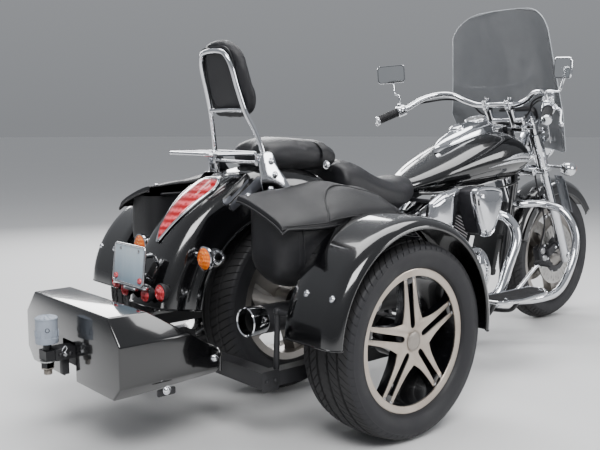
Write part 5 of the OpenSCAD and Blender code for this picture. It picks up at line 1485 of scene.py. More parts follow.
slot_tool = bpy.data.objects.new("slot", slot_mesh)
bpy.context.scene.collection.objects.link(slot_tool)
cutter = tow_sheet.modifiers.new("slot", "BOOLEAN")
cutter.object, cutter.operation, cutter.solver = slot_tool, "DIFFERENCE", "EXACT"
made = bpy.data.meshes.new_from_object(tow_sheet.evaluated_get(bpy.context.evaluated_depsgraph_get()))
tow_sheet.modifiers.clear()
bpy.data.objects.remove(slot_tool)
made.name = "tow_cover_sheet"
tow_sheet.data = made
made.shade_smooth()
made.set_sharp_from_angle(angle=radians(28))
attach(tow_sheet, "chassis")
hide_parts("tow_cover")
front_edge = [(-0.489, y, z) for y, z in [(0.3045, 0.226), (0.305, 0.262), (0.3035, 0.276), (0.292, 0.2895),
    (0.27, 0.2925), (0.1, 0.293), (-0.1, 0.293), (-0.27, 0.2925), (-0.292, 0.2895), (-0.3035, 0.276),
    (-0.305, 0.262), (-0.3045, 0.226)]]
side_nuts = both(joined(*[dome_nut((x, 0.3045, z), (0, 1, 0), 0.0105, 0.01) for x,
    z in ((-0.509, 0.268), (-0.675, 0.205))]))
brackets = both(slab(rounded([(-0.7, 0.208), (-0.64, 0.208), (-0.64, 0.186), (-0.7, 0.186)], 0.006), 0.004,
    side_on(0.292), 0.001))
make("tow_cover_trim", [(pipe(front_edge, 0.0042, 10, 3), lacquer), (side_nuts, chrome), (brackets, powder)],
    "chassis")

# ---- Drawbar, ball and ball cap ----
# Flat steel drawbar in powder coat with bright bolts; the ball is covered by a grey moulded cap with a
# ribbed, pointed top, and a pale nut and spring washer hold it from below.
refinish(powder, "tow_bar")
# Cap plastic: grey-blue, sun-chalked
cap_blue = surface("cap_plastic", "848C99", "A3ABB6", (0.45, 0.6), patch=0.02, grain=0.0012, bump=0.3)
zinc = surface("zinc_plate", "A9ABAA", "D0D1CF", (0.25, 0.45), metal=0.8, patch=0.012, grain=0.001, bump=0.25)
hitch = Vector((-0.89, 0, 0))
cap_profile = [(0.0255, 0.3195), (0.032, 0.3195), (0.0332, 0.3215), (0.0332, 0.336), (0.0318, 0.3375),
    (0.0318, 0.3895), (0.033, 0.3905), (0.033, 0.3935), (0.03, 0.3955)]
cap_body = turned(cap_profile, (hitch.x, 0, 0), segments=48)
crown_rows = []
for r, z in ((0.03, 0.3955), (0.02, 0.3985), (0.01, 0.401), (0.002, 0.402), (0, 0.402)):
    crown_rows.append([(hitch.x + r * (1 + 0.05 * (k % 4 == 0)) * cos(2 * pi * k / 48),
        r * (1 + 0.05 * (k % 4 == 0)) * sin(2 * pi * k / 48), z + 0.0008 * cos(12 * 2 * pi * k / 48))
        for k in range(48)])
crown = netted(crown_rows, caps=False)
under = turned([(0.0255, 0.3195), (0.0255, 0.375), (0, 0.38)], (hitch.x, 0, 0), segments=48)
peep = turned([(0, 0.0312), (0.0045, 0.0312), (0.0058, 0.0325), (0.0066, 0.0322)], (hitch.x, 0, 0.362),
    Vector((-0.35, -0.94, 0)), 20)
ribs = joined(*[block((hitch.x + 0.0322 * cos(a), 0.0322 * sin(a), 0.348), (0.004, 0.003, 0.02), 0.001,
    (0, 0, a * 180 / pi)) for a in (radians(30 * k) for k in range(12))])
make("ball_cap", [(cap_body, cap_blue), (crown, cap_blue), (under, cap_blue), (peep, soot), (ribs, cap_blue)],
    "chassis", "tow_ball_cap")
nut = turned([(0, 0.242), (0.0185, 0.242), (0.02, 0.2445), (0.02, 0.261), (0.0185, 0.2635), (0, 0.2635)],
    (hitch.x, 0, 0), segments=6)
washer = turned([(0.012, 0.2635), (0.0225, 0.2635), (0.0225, 0.2672), (0.012, 0.2672)], (hitch.x, 0, 0),
    segments=28)
thread_rows = repeated(turned([(0.0115, 0), (0.0124, 0.0009), (0.0115, 0.0018)], segments=20), zinc, 8,
    step=(0, 0, 0.0021), centre=(hitch.x, 0, 0.2255))
stub = turned([(0, 0.2245), (0.01, 0.2245), (0.0115, 0.2265), (0.0115, 0.3), (0, 0.3)], (hitch.x, 0, 0),
    segments=24)
pin = pipe([(-0.85, -0.034, 0.283), (-0.85, 0.034, 0.283)], 0.006, 14, 1)
loop = pipe([(-0.85, -0.03, 0.289), (-0.846, -0.036, 0.302), (-0.852, -0.04, 0.311), (-0.86, -0.036, 0.3),
    (-0.856, -0.03, 0.289)], 0.0018, 8, 5)
cheeks = joined(block((-0.842, 0, 0.283), (0.07, 0.058, 0.036), 0.004),
    *[dome_nut((-0.862 + 0.03 * k, s * 0.029, 0.283), (0, s, 0), 0.007, 0.007) for k in (0, 1)
    for s in (-1, 1)])
tail = block((-0.8385, 0, 0.24), (0.022, 0.022, 0.05), 0.003)
make("drawbar_fittings", [(nut, cap_grey), (washer, zinc), (joined(thread_rows, stub), cap_grey),
    (joined(pin, loop), chrome), (cheeks, powder), (tail, powder)], "chassis")

# ---- Engine guard ----
# One chromed tube hoop each side, bent round the engine from the downtube to the floorboard mount,
# flattened at its ends and bolted.
hoop = [(1.265, 0.115, 0.6), (1.265, 0.15, 0.6), (1.325, 0.215, 0.602), (1.352, 0.3, 0.575),
    (1.362, 0.352, 0.5), (1.352, 0.368, 0.42), (1.31, 0.366, 0.32), (1.268, 0.34, 0.235),
    (1.215, 0.27, 0.196), (1.12, 0.19, 0.19), (1.118, 0.15, 0.186)]
guard_nuts = joined(dome_nut((1.265, 0.15, 0.6), (0, 1, 0), 0.01, 0.01),
    dome_nut((1.118, 0.17, 0.205), (0, 0.3, 1), 0.009, 0.008))
make("engine_guard_tubes", [(both(pipe(hoop, 0.017, 18, 8)), chrome), (both(guard_nuts), chrome)], "chassis",
    "engine_guards")

# ---- Floorboards ----
# Chromed cast boards with a raised rim, a moulded rubber mat with long ribs held by domed studs, on
# bent steel brackets.
board = [(0.72 + u / 1000, 0.3 + v / 1000) for u, v in ((0, 14), (20, 120), (110, 150), (330, 132), (386, 90),
    (374, 10), (20, 0))]
board = rounded(board, [0.012, 0.03, 0.05, 0.06, 0.03, 0.012, 0.012], 5)
middle = Vector((sum(p[0] for p in board) / len(board), sum(p[1] for p in board) / len(board)))


def shrunk(outline, by):
    """An outline drawn in by a distance, towards the inside."""
    made = []
    for i, p in enumerate(outline):
        a, b = Vector(outline[i - 1]), Vector(outline[(i + 1) % len(outline)])
        d = (b - a).normalized()
        n = Vector((-d.y, d.x))
        if n.dot(middle - Vector(p)) < 0:
            n = -n
        made.append(tuple(Vector(p) + n * by))
    return made


def level(z):
    """Lays a plate flat, its depth running up from z."""
    return lambda u, v, w: (u, v, z + w)


tray = slab(board, 0.011, level(0.262), 0.003)
rim = pipe([(x, y, 0.2725) for x, y in shrunk(board, 0.0045) + shrunk(board, 0.0045)[:1]], 0.0048, 10, 1)
mat_rubber = surface("mat_rubber", "17171A", "232326", (0.62, 0.82), patch=0.03, grain=0.0012, bump=0.45)
mat = slab(shrunk(board, 0.014), 0.004, level(0.2725), 0.001)


def inside(x, y, outline):
    """Whether a point is inside an outline."""
    hit = False
    for (x0, y0), (x1, y1) in zip(outline, outline[1:] + outline[:1]):
        if (y0 > y) != (y1 > y) and x < (x1 - x0) * (y - y0) / (y1 - y0) + x0:
            hit = not hit
    return hit


ribs = []
border = shrunk(board, 0.022)
for k in range(13):
    y = 0.314 + k * 0.0105
    run = [0.72 + 0.004 * t for t in range(100) if inside(0.72 + 0.004 * t, y, border)]
    if len(run) > 8:
        ribs.append(block(((run[0] + run[-1]) / 2, y, 0.2775), (run[-1] - run[0], 0.0052, 0.0042), 0.0014))
studs = [turned([(0, 0), (0.0085, 0), (0.008, 0.0026), (0.0045, 0.004), (0, 0.0044)], (x, y, 0.2785),
    (0, 0, 1), 18) for x, y in ((0.775, 0.33), (0.79, 0.412), (1.06, 0.326), (1.04, 0.4))]
struts = [pipe([(x, 0.151, 0.165), (x, 0.215, 0.172), (x, 0.29, 0.185), (x, 0.322, 0.225), (x, 0.33, 0.266)],
    0.0095, 14, 5) for x in (0.83, 1.000)]
make("floorboard_pair", [(both(tray), chrome), (both(rim), chrome), (both(mat), mat_rubber),
    (both(joined(*ribs)), mat_rubber), (both(joined(*studs)), chrome), (both(joined(*struts)), enamel)],
    "chassis", "floorboards", angle=35)

# ---- Foot controls and passenger pegs ----
# Chromed forged levers with ribbed rubber pads on their ends, and rubber-sleeved pegs behind.
brake_arm = pipe([(1.05, -0.151, 0.165), (1.05, -0.18, 0.165), (1.12, -0.232, 0.24), (1.205, -0.262, 0.33),
    (1.225, -0.282, 0.352)], [0.008, 0.009, 0.0085, 0.0078, 0.0075], 14, 6)
gear_arm = pipe([(1.05, 0.151, 0.165), (1.05, 0.18, 0.165), (1.11, 0.232, 0.24), (1.2, 0.25, 0.33),
    (1.2, 0.262, 0.3305)], 0.0078, 14, 6)
pad = [block((1.226, -0.292, 0.354), (0.026, 0.084, 0.011), 0.0035, (0, -35, 0))]
tilt = Matrix.Translation((1.226, -0.292, 0.354)) @ Matrix.Rotation(radians(-35), 4, "Y")
pad_ribs = [moved(block((0, -0.034 + 0.0113 * k, 0.0062), (0.0235, 0.0056, 0.0036), 0.0011), tilt)
    for k in range(7)]
toe = pipe([(1.2, 0.255, 0.3302), (1.2, 0.304, 0.3302)], 0.0115, 18, 1)
toe_ribs = [turned([(0.0108, -0.0016), (0.0132, 0), (0.0108, 0.0016)], (1.2, 0.262 + 0.0062 * k, 0.3302),
    (0, 1, 0), 18) for k in range(7)]
peg_ribs = [turned([(0.014, -0.0022), (0.0166, 0), (0.014, 0.0022)], (0.545, 0.242 + 0.0075 * k, 0.215),
    (0, 1, 0), 20) for k in range(9)]
peg = pipe([(0.545, 0.236, 0.215), (0.545, 0.31, 0.215)], 0.0148, 20, 1)
peg_arm = pipe([(0.545, 0.151, 0.215), (0.545, 0.238, 0.215)], 0.0095, 14, 1)
peg_end = turned([(0, 0.0125), (0.0095, 0.0105), (0.015, 0.006), (0.0165, 0), (0.015, -0.006)],
    (0.545, 0.306, 0.215), (0, 1, 0), 24)
make("foot_lever_pair", [(brake_arm, chrome), (gear_arm, chrome), (joined(*pad), mat_rubber),
    (joined(*pad_ribs), mat_rubber), (joined(toe, *toe_ribs), mat_rubber),
    (both(joined(peg, *peg_ribs)), mat_rubber), (both(joined(peg_arm, peg_end)), chrome)], "chassis",
    "foot_controls", angle=45)

# ---- Front mudguard ----
# Pressed steel, lacquered black like the tank, hugging the tyre; chromed stays bolt it to the fork.
STEER = Matrix(((0.8988, 0, -0.4384, 1.69), (0, 1, 0, 0), (0.4384, 0, 0.8988, 0.325), (0, 0, 0, 1)))


def steered(shape):
    """Puts a shape drawn in the fork's own directions (up along the legs) in place."""
    return moved(shape, STEER)


def at_fork(*points):
    """The same for loose points."""
    return [tuple(STEER @ Vector(p)) for p in points]


front_centre = Vector((1.705, 0, 0.335))
sweep_angles = [36 + 129 * k / 80 for k in range(81)]
front_shell = swept_guard(front_centre, guard_section(0.076, 0.358, 0.07, 0.002), sweep_angles, 0.0026)
edges = joined(*[pipe([polar(front_centre, 0.2885, a, s * 0.0775) for a in sweep_angles[::3]], 0.0028, 8, 2)
    for s in (1, -1)], *[pipe([polar(front_centre, r - 0.0013, a, y) for y,
    r in [(-q, w) for q, w in reversed(guard_section(0.076, 0.358, 0.07, 0.002)[1:])]
    + guard_section(0.076, 0.358, 0.07, 0.002)], 0.0028, 8, 2) for a in (36, 165)])
stays = steered(both(joined(pipe([(0, 0.0745, 0.3), (0, 0.0905, 0.3)], 0.012, 20, 1),
    dome_nut((0, 0.08, 0.324), (0, 1, 0), 0.007, 0.006))))
make("front_guard_shell", [(front_shell, lacquer), (edges, lacquer), (stays, chrome)], "steering",
    "front_mudguard", angle=40)

# ---- Fork ----
# Chromed upper tubes and covers in forged clamps, polished alloy sliders below with drain screws,
# axle clamps and rubber dust seals, on one steel axle.
slider = [(0, -0.0345), (0.019, -0.0345), (0.0245, -0.03), (0.0255, -0.022), (0.0262, -0.012),
    (0.0262, 0.016), (0.024, 0.026), (0.0238, 0.11), (0.025, 0.125), (0.025, 0.205), (0.0262, 0.214),
    (0.0268, 0.222), (0.0268, 0.256), (0.0258, 0.2635), (0.0225, 0.266), (0.0215, 0.266)]
upper = [(0.0205, 0.262), (0.0205, 0.478), (0.0205, 0.73)]
cover = [(0.0215, 0.4795), (0.028, 0.48), (0.029, 0.484), (0.0283, 0.49), (0.0283, 0.556), (0.0292, 0.56),
    (0.0283, 0.564), (0.0283, 0.64), (0.029, 0.646), (0.028, 0.65), (0.0215, 0.6505)]
top_cap = [(0, 0.7385), (0.01, 0.7385), (0.0115, 0.7365), (0.0115, 0.7335), (0.019, 0.7325), (0.0208, 0.73),
    (0.0208, 0.716)]
seal = [(0.0212, 0.2655), (0.0262, 0.266), (0.0258, 0.2735), (0.0232, 0.2765), (0.0212, 0.2768)]
bright, dark, forged = [], [], []
y = 0.111
bright += [turned(p, (0, y, 0), segments=40) for p in (slider, upper, cover, top_cap)]
dark += [turned(seal, (0, y, 0), segments=40)]
forged += [block((0.0, y, 0.47), (0.066, 0.064, 0.03), 0.012, steps=4),
    block((0.0, y, 0.7), (0.064, 0.062, 0.03), 0.012, steps=4)]
bright += [dome_nut((0.018, y + 0.0265, 0.0), (0, 1, 0), 0.009, 0.009),
    dome_nut((0.026, y, 0.04), (1, 0, 0), 0.005, 0.005), turned([(0, 0.032), (0.013, 0.032), (0.0165, 0.0295),
    (0.0165, 0.0255)], (0, y, 0), (0, 1, 0), 28), dome_nut((-0.026, y - 0.012, 0.47), (-1, 0, 0), 0.006,
    0.007), dome_nut((-0.026, y + 0.012, 0.7), (-1, 0, 0), 0.006, 0.007)]
yokes = [block((-0.02, 0, z), (0.074, 0.19, 0.028), 0.01, steps=4) for z in (0.47, 0.7)]
stem = [pipe([(-0.05, 0, 0.456), (-0.05, 0, 0.714)], 0.015, 20, 1)]
stem_nut = turned([(0, 0.0155), (0.0095, 0.014), (0.015, 0.0075), (0.017, 0.003), (0.017, 0)],
    (-0.05, 0, 0.7135), (0, 0, 1), 6)
axle = pipe([(0, -0.139, 0), (0, 0.139, 0)], 0.012, 20, 1)
make("fork_legs", [(steered(both(joined(*bright))), chrome), (steered(both(joined(*dark))), soot),
    (steered(both(joined(*forged))), chrome), (steered(joined(*yokes)), chrome),
    (steered(joined(*stem)), casting), (steered(joined(stem_nut, axle)), chrome)], "steering", "fork",
    angle=38)

# Chromed cover over the top clamp, and smoked deflectors on the lower clamps
cowl = joined(block((-0.022, 0, 0.737), (0.094, 0.236, 0.04), 0.017, steps=5),
    block((0.01, 0, 0.7), (0.05, 0.15, 0.09), 0.02, steps=5))
make("clamp_cowl", [(steered(cowl), chrome)], "steering", angle=50)
smoked_plate = surface("smoked_plate", "5E6166", "6E7176", (0.06, 0.14), patch=0.05, grain=0.003, bump=0.04,
    coat=0.5)
wings = []
for row in range(9):
    t = row / 8
    wings.append([(0.034 + 0.052 * u - 0.07 * u * u, 0.137 + 0.062 * u ** 0.9,
        0.205 + 0.215 * t + 0.03 * u * (1 - 1.6 * t)) for u in (k / 10 for k in range(11))])
wing_bolts = joined(*[dome_nut((0.04, 0.144, z), (0.75, 0.65, 0), 0.006, 0.005) for z in (0.25, 0.38)],
    pipe([(0.0, 0.118, 0.25), (0.038, 0.141, 0.25)], 0.005, 10, 1),
    pipe([(0.0, 0.118, 0.38), (0.038, 0.141, 0.38)], 0.005, 10, 1))
deflectors = make("fork_deflectors", [(steered(both(netted(wings, loop=False))), smoked_plate)], "steering",
    angle=180)
wall = deflectors.modifiers.new("thickness", "SOLIDIFY")
wall.thickness, wall.offset = 0.003, 0
make("deflector_bolts", [(steered(both(wing_bolts)), chrome)], "steering")

# ---- Brake calipers ----
# Two-piston sliding calipers, cast alloy painted satin grey with a milled edge, steel pins and a
# banjo bolt for the hose.
brake_parts = [block((-0.113, 0.0745, 0.067), (0.056, 0.015, 0.084), 0.006, (0, 8, 0), 3),
    block((-0.113, 0.0485, 0.067), (0.05, 0.012, 0.08), 0.005, (0, 8, 0), 3),
    block((-0.1385, 0.062, 0.067), (0.009, 0.034, 0.07), 0.003, (0, 8, 0)),
    block((-0.058, 0.088, 0.062), (0.082, 0.026, 0.042), 0.008, steps=3)]
pots = [turned([(0, 0.0075), (0.0125, 0.0075), (0.015, 0.0055), (0.0165, 0)], (-0.113, 0.081, z), (0, 1, 0),
    28) for z in (0.047, 0.086)]
pins = [dome_nut((-0.092, 0.0825, z), (0, 1, 0), 0.0055, 0.006)
    for z in (0.03, 0.104)] + [dome_nut((-0.036, 0.1005, 0.062), (0, 1, 0), 0.006, 0.006)]
hoses = pipe([(-0.128, 0.08, 0.106), (-0.118, 0.088, 0.135), (-0.07, 0.09, 0.19), (-0.046, 0.088, 0.27),
    (-0.046, 0.088, 0.38), (-0.04, 0.088, 0.455)], 0.004, 10, 8)
clip = joined(*[block((-0.04, 0.09, z), (0.014, 0.014, 0.012), 0.003) for z in (0.235, 0.38)])
make("caliper_pair", [(steered(both(joined(*brake_parts))), casting), (steered(both(joined(*pots))), milled),
    (steered(both(joined(*pins))), chrome)], "steering", "brake_calipers", angle=38)
make("brake_hoses", [(steered(both(hoses)), rubber), (steered(both(clip)), chrome)], "steering")

# ---- Headlamp ----
# Deep chromed shell and bezel round a clear fluted lens, with a bright reflector and a lamp cap
# behind it, hung in front of the fork.
head = Vector((1.69 + 0.8988 * 0.096 - 0.4384 * 0.56, 0, 0.325 + 0.4384 * 0.096 + 0.8988 * 0.56))
shell = [(0, -0.014), (0.02, -0.0135), (0.04, -0.01), (0.056, -0.002), (0.068, 0.012), (0.078, 0.032),
    (0.0845, 0.052), (0.087, 0.07), (0.0905, 0.0715), (0.0925, 0.0755), (0.0925, 0.084), (0.0905, 0.0885),
    (0.0865, 0.09), (0.083, 0.0885), (0.0825, 0.0845)]
bowl = [(0.082, 0.08), (0.07, 0.056), (0.05, 0.033), (0.025, 0.02), (0.013, 0.018), (0.012, 0.04), (0, 0.042)]
glass_rows = [(0.0822, 0.085), (0.078, 0.088), (0.06, 0.0925), (0.04, 0.0955), (0.02, 0.097), (0, 0.0975)]
# Lamp glass: clear, slightly thick, fluted from behind
lamp_glass, shader, place = new_finish("lamp_glass")
shader.inputs["Base Color"].default_value = linear("F2F5F6")
shader.inputs["Roughness"].default_value = 0.03
shader.inputs["Transmission Weight"].default_value = 0.92
flutes = add(lamp_glass, "ShaderNodeTexWave", {"Scale": 34.0, "Distortion": 0.0, "bands_direction": "Y"},
    Vector=place)
relief = add(lamp_glass, "ShaderNodeBump", {"Strength": 0.25, "Distance": 0.001},
    Height=flutes.outputs["Color"])
lamp_glass.node_tree.links.new(relief.outputs[0], shader.inputs["Normal"])
arm = pipe(at_fork((0.033, 0, 0.485), (0.072, 0, 0.485), (0.09, 0, 0.515), (0.098, 0, 0.548)), 0.0125, 16, 6)
visor = pipe([(head.x + 0.082, 0.0925 * sin(a), head.z + 0.0925 * cos(a))
    for a in (radians(d) for d in range(-60, 61, 10))], 0.0022, 8, 2)
make("headlamp", [(turned(shell, head, (1, 0, 0), 56), chrome), (turned(bowl, head, (1, 0, 0), 56), chrome),
    (turned(glass_rows, head, (1, 0, 0), 56), lamp_glass), (arm, chrome), (visor, chrome)], "steering",
    "headlight", angle=40)

# ---- Front turn signals ----
# Bullet housings in chrome with amber lenses, on short chromed stalks from the fork covers.
for side, word in ((-1, "right"), (1, "left")):
    spot = Vector(STEER @ Vector((0.01, side * 0.232, 0.47)))
    stalk = pipe(at_fork((0, side * 0.139, 0.485), (0, side * 0.175, 0.485), (0.004, side * 0.222, 0.48)),
        0.0075, 14, 5)
    collar = turned([(0.0085, 0), (0.012, 0.001), (0.012, 0.007), (0.0085, 0.008)],
        STEER @ Vector((0, side * 0.1385, 0.485)), (0, side, 0), 20)
    lamp = [(turned([(0, -0.0315), (0.012, -0.0305), (0.022, -0.026), (0.029, -0.017), (0.0318, -0.004),
        (0.0325, 0.01), (0.0325, 0.017), (0.0312, 0.02), (0.029, 0.0205)], spot, (1, 0, 0), 36), chrome),
        (turned([(0.0296, 0.019), (0.029, 0.025), (0.024, 0.031), (0.014, 0.0345), (0, 0.0355)], spot,
        (1, 0, 0), 36), amber_lens)]
    signals = lamp + [(stalk, chrome), (collar, chrome)]
    if side < 0:
        front_signals = signals
make("front_signal_pair", front_signals + signals, "steering", "front_turn_signals", angle=40)

# ---- Handlebar ----
# One bent tube, chromed, in two risers with split clamps; the outer ends carry the grips.
half_bar = [(-0.061, 0, 0.826), (-0.061, 0.1, 0.826), (-0.068, 0.165, 0.85), (-0.082, 0.222, 0.888),
    (-0.112, 0.285, 0.905), (-0.168, 0.338, 0.908), (-0.236, 0.38, 0.896), (-0.372, 0.452, 0.896)]
whole_bar = [(x, -y, z) for x, y, z in half_bar[:0:-1]] + half_bar
risers = turned([(0.021, 0), (0.0185, 0.006), (0.016, 0.02), (0.016, 0.06), (0.019, 0.078), (0.0195, 0.088)],
    (-0.055, 0.06, 0.716), (-0.06, 0, 1), 28)
clamps = joined(block((-0.061, 0.06, 0.815), (0.042, 0.028, 0.021), 0.006, steps=3),
    block((-0.061, 0.06, 0.8385), (0.042, 0.028, 0.02), 0.007, steps=3),
    *[dome_nut((-0.061 + a, 0.06 + b, 0.848), (0, 0, 1), 0.0045, 0.005) for a in (-0.014, 0.014)
    for b in (-0.007, 0.007)])
make("handlebar_tube", [(steered(pipe(whole_bar, 0.014, 20, 8)), chrome), (steered(both(risers)), chrome),
    (steered(both(clamps)), chrome)], "steering", "handlebar", angle=40)

# ---- Hand controls ----
# Soft rubber grips with ribs and chromed end caps, split chromed switch housings with black buttons,
# a fluid reservoir, forged levers with ball ends, and cables clipped along the bar.
grip_rubber = surface("grip_rubber", "131316", "1D1D20", (0.62, 0.8), patch=0.02, grain=0.001, bump=0.4)
inner, outer = Vector((-0.236, 0.38, 0.896)), Vector((-0.372, 0.452, 0.896))
along = (outer - inner).normalized()
across = Vector((along.y, -along.x, 0))
reach = (outer - inner).length
grip = [(0.0165, 0.05), (0.02, 0.0505), (0.0215, 0.052), (0.0215, 0.055), (0.0185, 0.0565)]
for k in range(12):
    s = 0.06 + k * 0.0062
    grip += [(0.0183, s), (0.0192, s + 0.0006), (0.0192, s + 0.0044), (0.0183, s + 0.005)]
grip += [(0.0185, reach - 0.016), (0.0198, reach - 0.014), (0.0198, reach - 0.009)]
end_cap = [(0.0198, reach - 0.009), (0.0206, reach - 0.008), (0.0206, reach - 0.001),
    (0.0185, reach + 0.0035), (0.011, reach + 0.006), (0, reach + 0.0065)]
housing = [(0.015, 0.007), (0.0225, 0.008), (0.0262, 0.011), (0.0268, 0.016), (0.0268, 0.0275),
    (0.0262, 0.0285), (0.0268, 0.0295), (0.0268, 0.04), (0.0262, 0.046), (0.0225, 0.05), (0.015, 0.0505)]
bell = inner + along * 0.03
lever_pivot = bell + Vector((0.018, 0.022, -0.004))
lever = [bell + along * s + across * off + Vector((0, 0, z)) for s, off,
    z in ((-0.006, 0.004, 0.0), (0.000, 0.028, -0.004), (0.016, 0.045, -0.01), (0.042, 0.05, -0.016),
    (0.074, 0.047, -0.022), (0.1, 0.047, -0.028), (0.114, 0.05, -0.032))]
controls = []
for side in (1, -1):
    flip = (lambda shape: shape) if side > 0 else mirrored
    bright = [flip(turned(end_cap, inner, along, 32)), flip(turned(housing, inner, along, 36)),
        flip(pipe(lever, [0.0075, 0.0072, 0.0068, 0.0062, 0.006, 0.0058, 0.0056], 14, 6)),
        flip(turned([(0, -0.01), (0.006, -0.0085), (0.0092, -0.004), (0.01, 0.001), (0.0085, 0.006),
        (0.0045, 0.009), (0, 0.0097)], lever[-1], (lever[-1] - lever[-2]), 20)),
        flip(block(tuple(lever_pivot + Vector((-0.006, -0.006, 0.001))), (0.03, 0.028, 0.017), 0.005,
        (0, 0, 28), 3)), flip(dome_nut(tuple(lever_pivot + Vector((0.0, 0.0, 0.0095))), (0, 0, 1), 0.0055,
        0.005))]
    black = [flip(turned(grip, inner, along, 36))]
    for k, (lift, size) in enumerate(((0.022, 0.01), (0.034, 0.008))):
        black.append(flip(block(tuple(inner + along * lift - across * 0.0262), (0.006, size, 0.007), 0.0015,
            (0, 0, 62))))
    if side < 0:
        # The brake's fluid reservoir stands on the right housing
        well = bell + Vector((0.034, -0.01, 0.024))
        bright += [flip(block(tuple(well), (0.062, 0.044, 0.026), 0.008, (0, 0, -28), 3)),
            flip(block(tuple(well + Vector((0, 0, 0.0155))), (0.066, 0.047, 0.006), 0.0025, (0, 0, -28)))]
        bright += [flip(dome_nut(tuple(well + Vector((0.02 * a, 0.008 * a, 0.0185))), (0, 0, 1), 0.0035,
            0.003)) for a in (-1, 1)]
    # Cables: out of the lever and the housing, along the bar and down past the clamp
    run = [bell + Vector((0.02, 0.006, 0.002)), inner + Vector((0.055, -0.02, -0.004)),
        Vector((-0.14, 0.32, 0.884)), Vector((-0.092, 0.262, 0.872)), Vector((-0.06, 0.21, 0.85)),
        Vector((-0.04, 0.165, 0.822)), Vector((-0.03, 0.13, 0.77)), Vector((-0.024, 0.075, 0.735)),
        Vector((-0.024, 0.055, 0.69))]
    black.append(flip(pipe(run, 0.0042, 10, 7)))
    if side < 0:
        run = [bell + Vector((0.002, 0.0, -0.022)), inner + Vector((0.03, -0.018, -0.03)),
            Vector((-0.15, 0.318, 0.866)), Vector((-0.098, 0.25, 0.858)), Vector((-0.066, 0.19, 0.826)),
            Vector((-0.046, 0.15, 0.79)), Vector((-0.036, 0.11, 0.745)), Vector((-0.03, 0.072, 0.715)),
            Vector((-0.03, 0.06, 0.68))]
        black.append(flip(pipe(run, 0.0036, 10, 7)))
    controls += [(steered(joined(*bright)), chrome), (steered(joined(*black)), grip_rubber)]
make("hand_control_set", controls, "steering", "hand_controls", angle=40)

# ---- Mirrors ----
# Rounded rectangular mirrors in thin chromed shells, a black bezel and silvered glass, each on a bent
# chromed stem with a lock nut.
mirror_glass = surface("silvered_glass", "E9ECEE", "F2F4F5", (0.02, 0.04), metal=1.0, patch=0.05, grain=0.004,
    bump=0.0)
glasses, chromes, bezels = [], [], []
for side in (1, -1):
    root = STEER @ (bell + Vector((0, 0, 0.024)))
    root.y *= side
    head_at = STEER @ Vector((-0.185, 0.432, 1.048))
    head_at = Vector((head_at.x + (-0.012 if side > 0 else 0.01), side * (head_at.y + 0.018),
        head_at.z - (0 if side > 0 else 0.012)))
    frame_turn = Matrix.Translation(head_at) @ Matrix.Rotation(radians(30 * side), 4,
        "Z") @ Matrix.Rotation(radians(-4 * side), 4, "X")
    outline = rounded([(-0.0665, -0.042), (0.0665, -0.042), (0.0665, 0.042), (-0.0665, 0.042)], 0.019, 7)

    def plate(grow, depth):
        return [(depth, u * (1 + grow / 0.0665), v * (1 + grow / 0.042)) for u, v in outline]
    # Shell: domed at the front, wrapped round to the glass, which faces the rider
    shell_rows = [plate(-0.036, 0.0105), plate(-0.024, 0.0102), plate(-0.012, 0.0085), plate(-0.004, 0.0045),
        plate(-0.0003, -0.001), plate(0.0, -0.0055), plate(-0.0012, -0.0075), plate(-0.003, -0.0078)]
    points, faces = netted(shell_rows, caps=False)
    chromes.append(moved((points, faces + [tuple(range(len(outline)))]), frame_turn))
    bezels.append(moved(netted([plate(-0.003, -0.0078), plate(-0.0046, -0.008), plate(-0.0052, -0.007)],
        caps=False), frame_turn))
    rim_row = plate(-0.005, -0.0072)
    glasses.append(moved((rim_row, [tuple(range(len(rim_row)))]), frame_turn))
    stem_line = [root, root + Vector((-0.003, 0, 0.045)), head_at + Vector((0.004, -0.02 * side, -0.09)),
        head_at + Vector((0.01, -0.01 * side, -0.058)), head_at + Vector((0.011, 0, -0.03)),
        head_at + Vector((0.008, 0, -0.01))]
    chromes.append(pipe(stem_line, [0.0058, 0.0052, 0.005, 0.005, 0.0055, 0.0062], 14, 7))
    chromes.append(turned([(0, -0.004), (0.0095, -0.003), (0.0105, 0.0), (0.0105, 0.006), (0.009, 0.01),
        (0.005, 0.013)], root, (0, 0, 1), 6))
make("mirror_pair", [(joined(*chromes), chrome), (joined(*bezels), soot), (joined(*glasses), mirror_glass)],
    "steering", "mirrors", angle=40)

# ---- Windshield ----
# Blown acrylic screen, smoke grey, with a polished edge, held by two chromed rods and clamped to the
# fork; a dark hide pouch is tied to its inner face.
# Smoked acrylic: see-through grey with a clear gloss
smoke, shader, place = new_finish("smoked_acrylic")
haze = add(smoke, "ShaderNodeTexNoise", {"Scale": 14.0, "Detail": 4.0}, Vector=place)
smoke.node_tree.links.new(blended(smoke, haze.outputs[0], "6C6E71", "787A7D"), shader.inputs["Base Color"])
smoke.node_tree.links.new(ranged(smoke, haze.outputs[0], 0.08, 0.16), shader.inputs["Roughness"])
smoke.node_tree.links.new(ranged(smoke, haze.outputs[0], 0.74, 0.8), shader.inputs["Alpha"])
shader.inputs["Specular IOR Level"].default_value = 0.35


def screen_edge():
    """The screen's outline (across, up), from above its lower middle round and back."""
    def arc(cx, cy, r, a0, a1, n):
        return [(cx + r * cos(radians(a0 + (a1 - a0) * k / n)), cy + r * sin(radians(a0
            + (a1 - a0) * k / n))) for k in range(n + 1)]
    half = arc(0.21, 0.06, 0.06, -90, 0, 10)[:6] + arc(0.225, 0.2, 0.05, -10, 20, 6) + arc(0.11, 0.508, 0.13,
        18, 88, 14)
    half = [(0.104, 0.0)] + [(0.155, 0.0)] + half + [(0.055, 0.6395), (0.0, 0.64)]
    notch = [(0.104, 0.0), (0.104, 0.02)] + arc(0, 0.02, 0.104, 0, 90, 14)[1:]
    return notch[::-1] + half[1:]


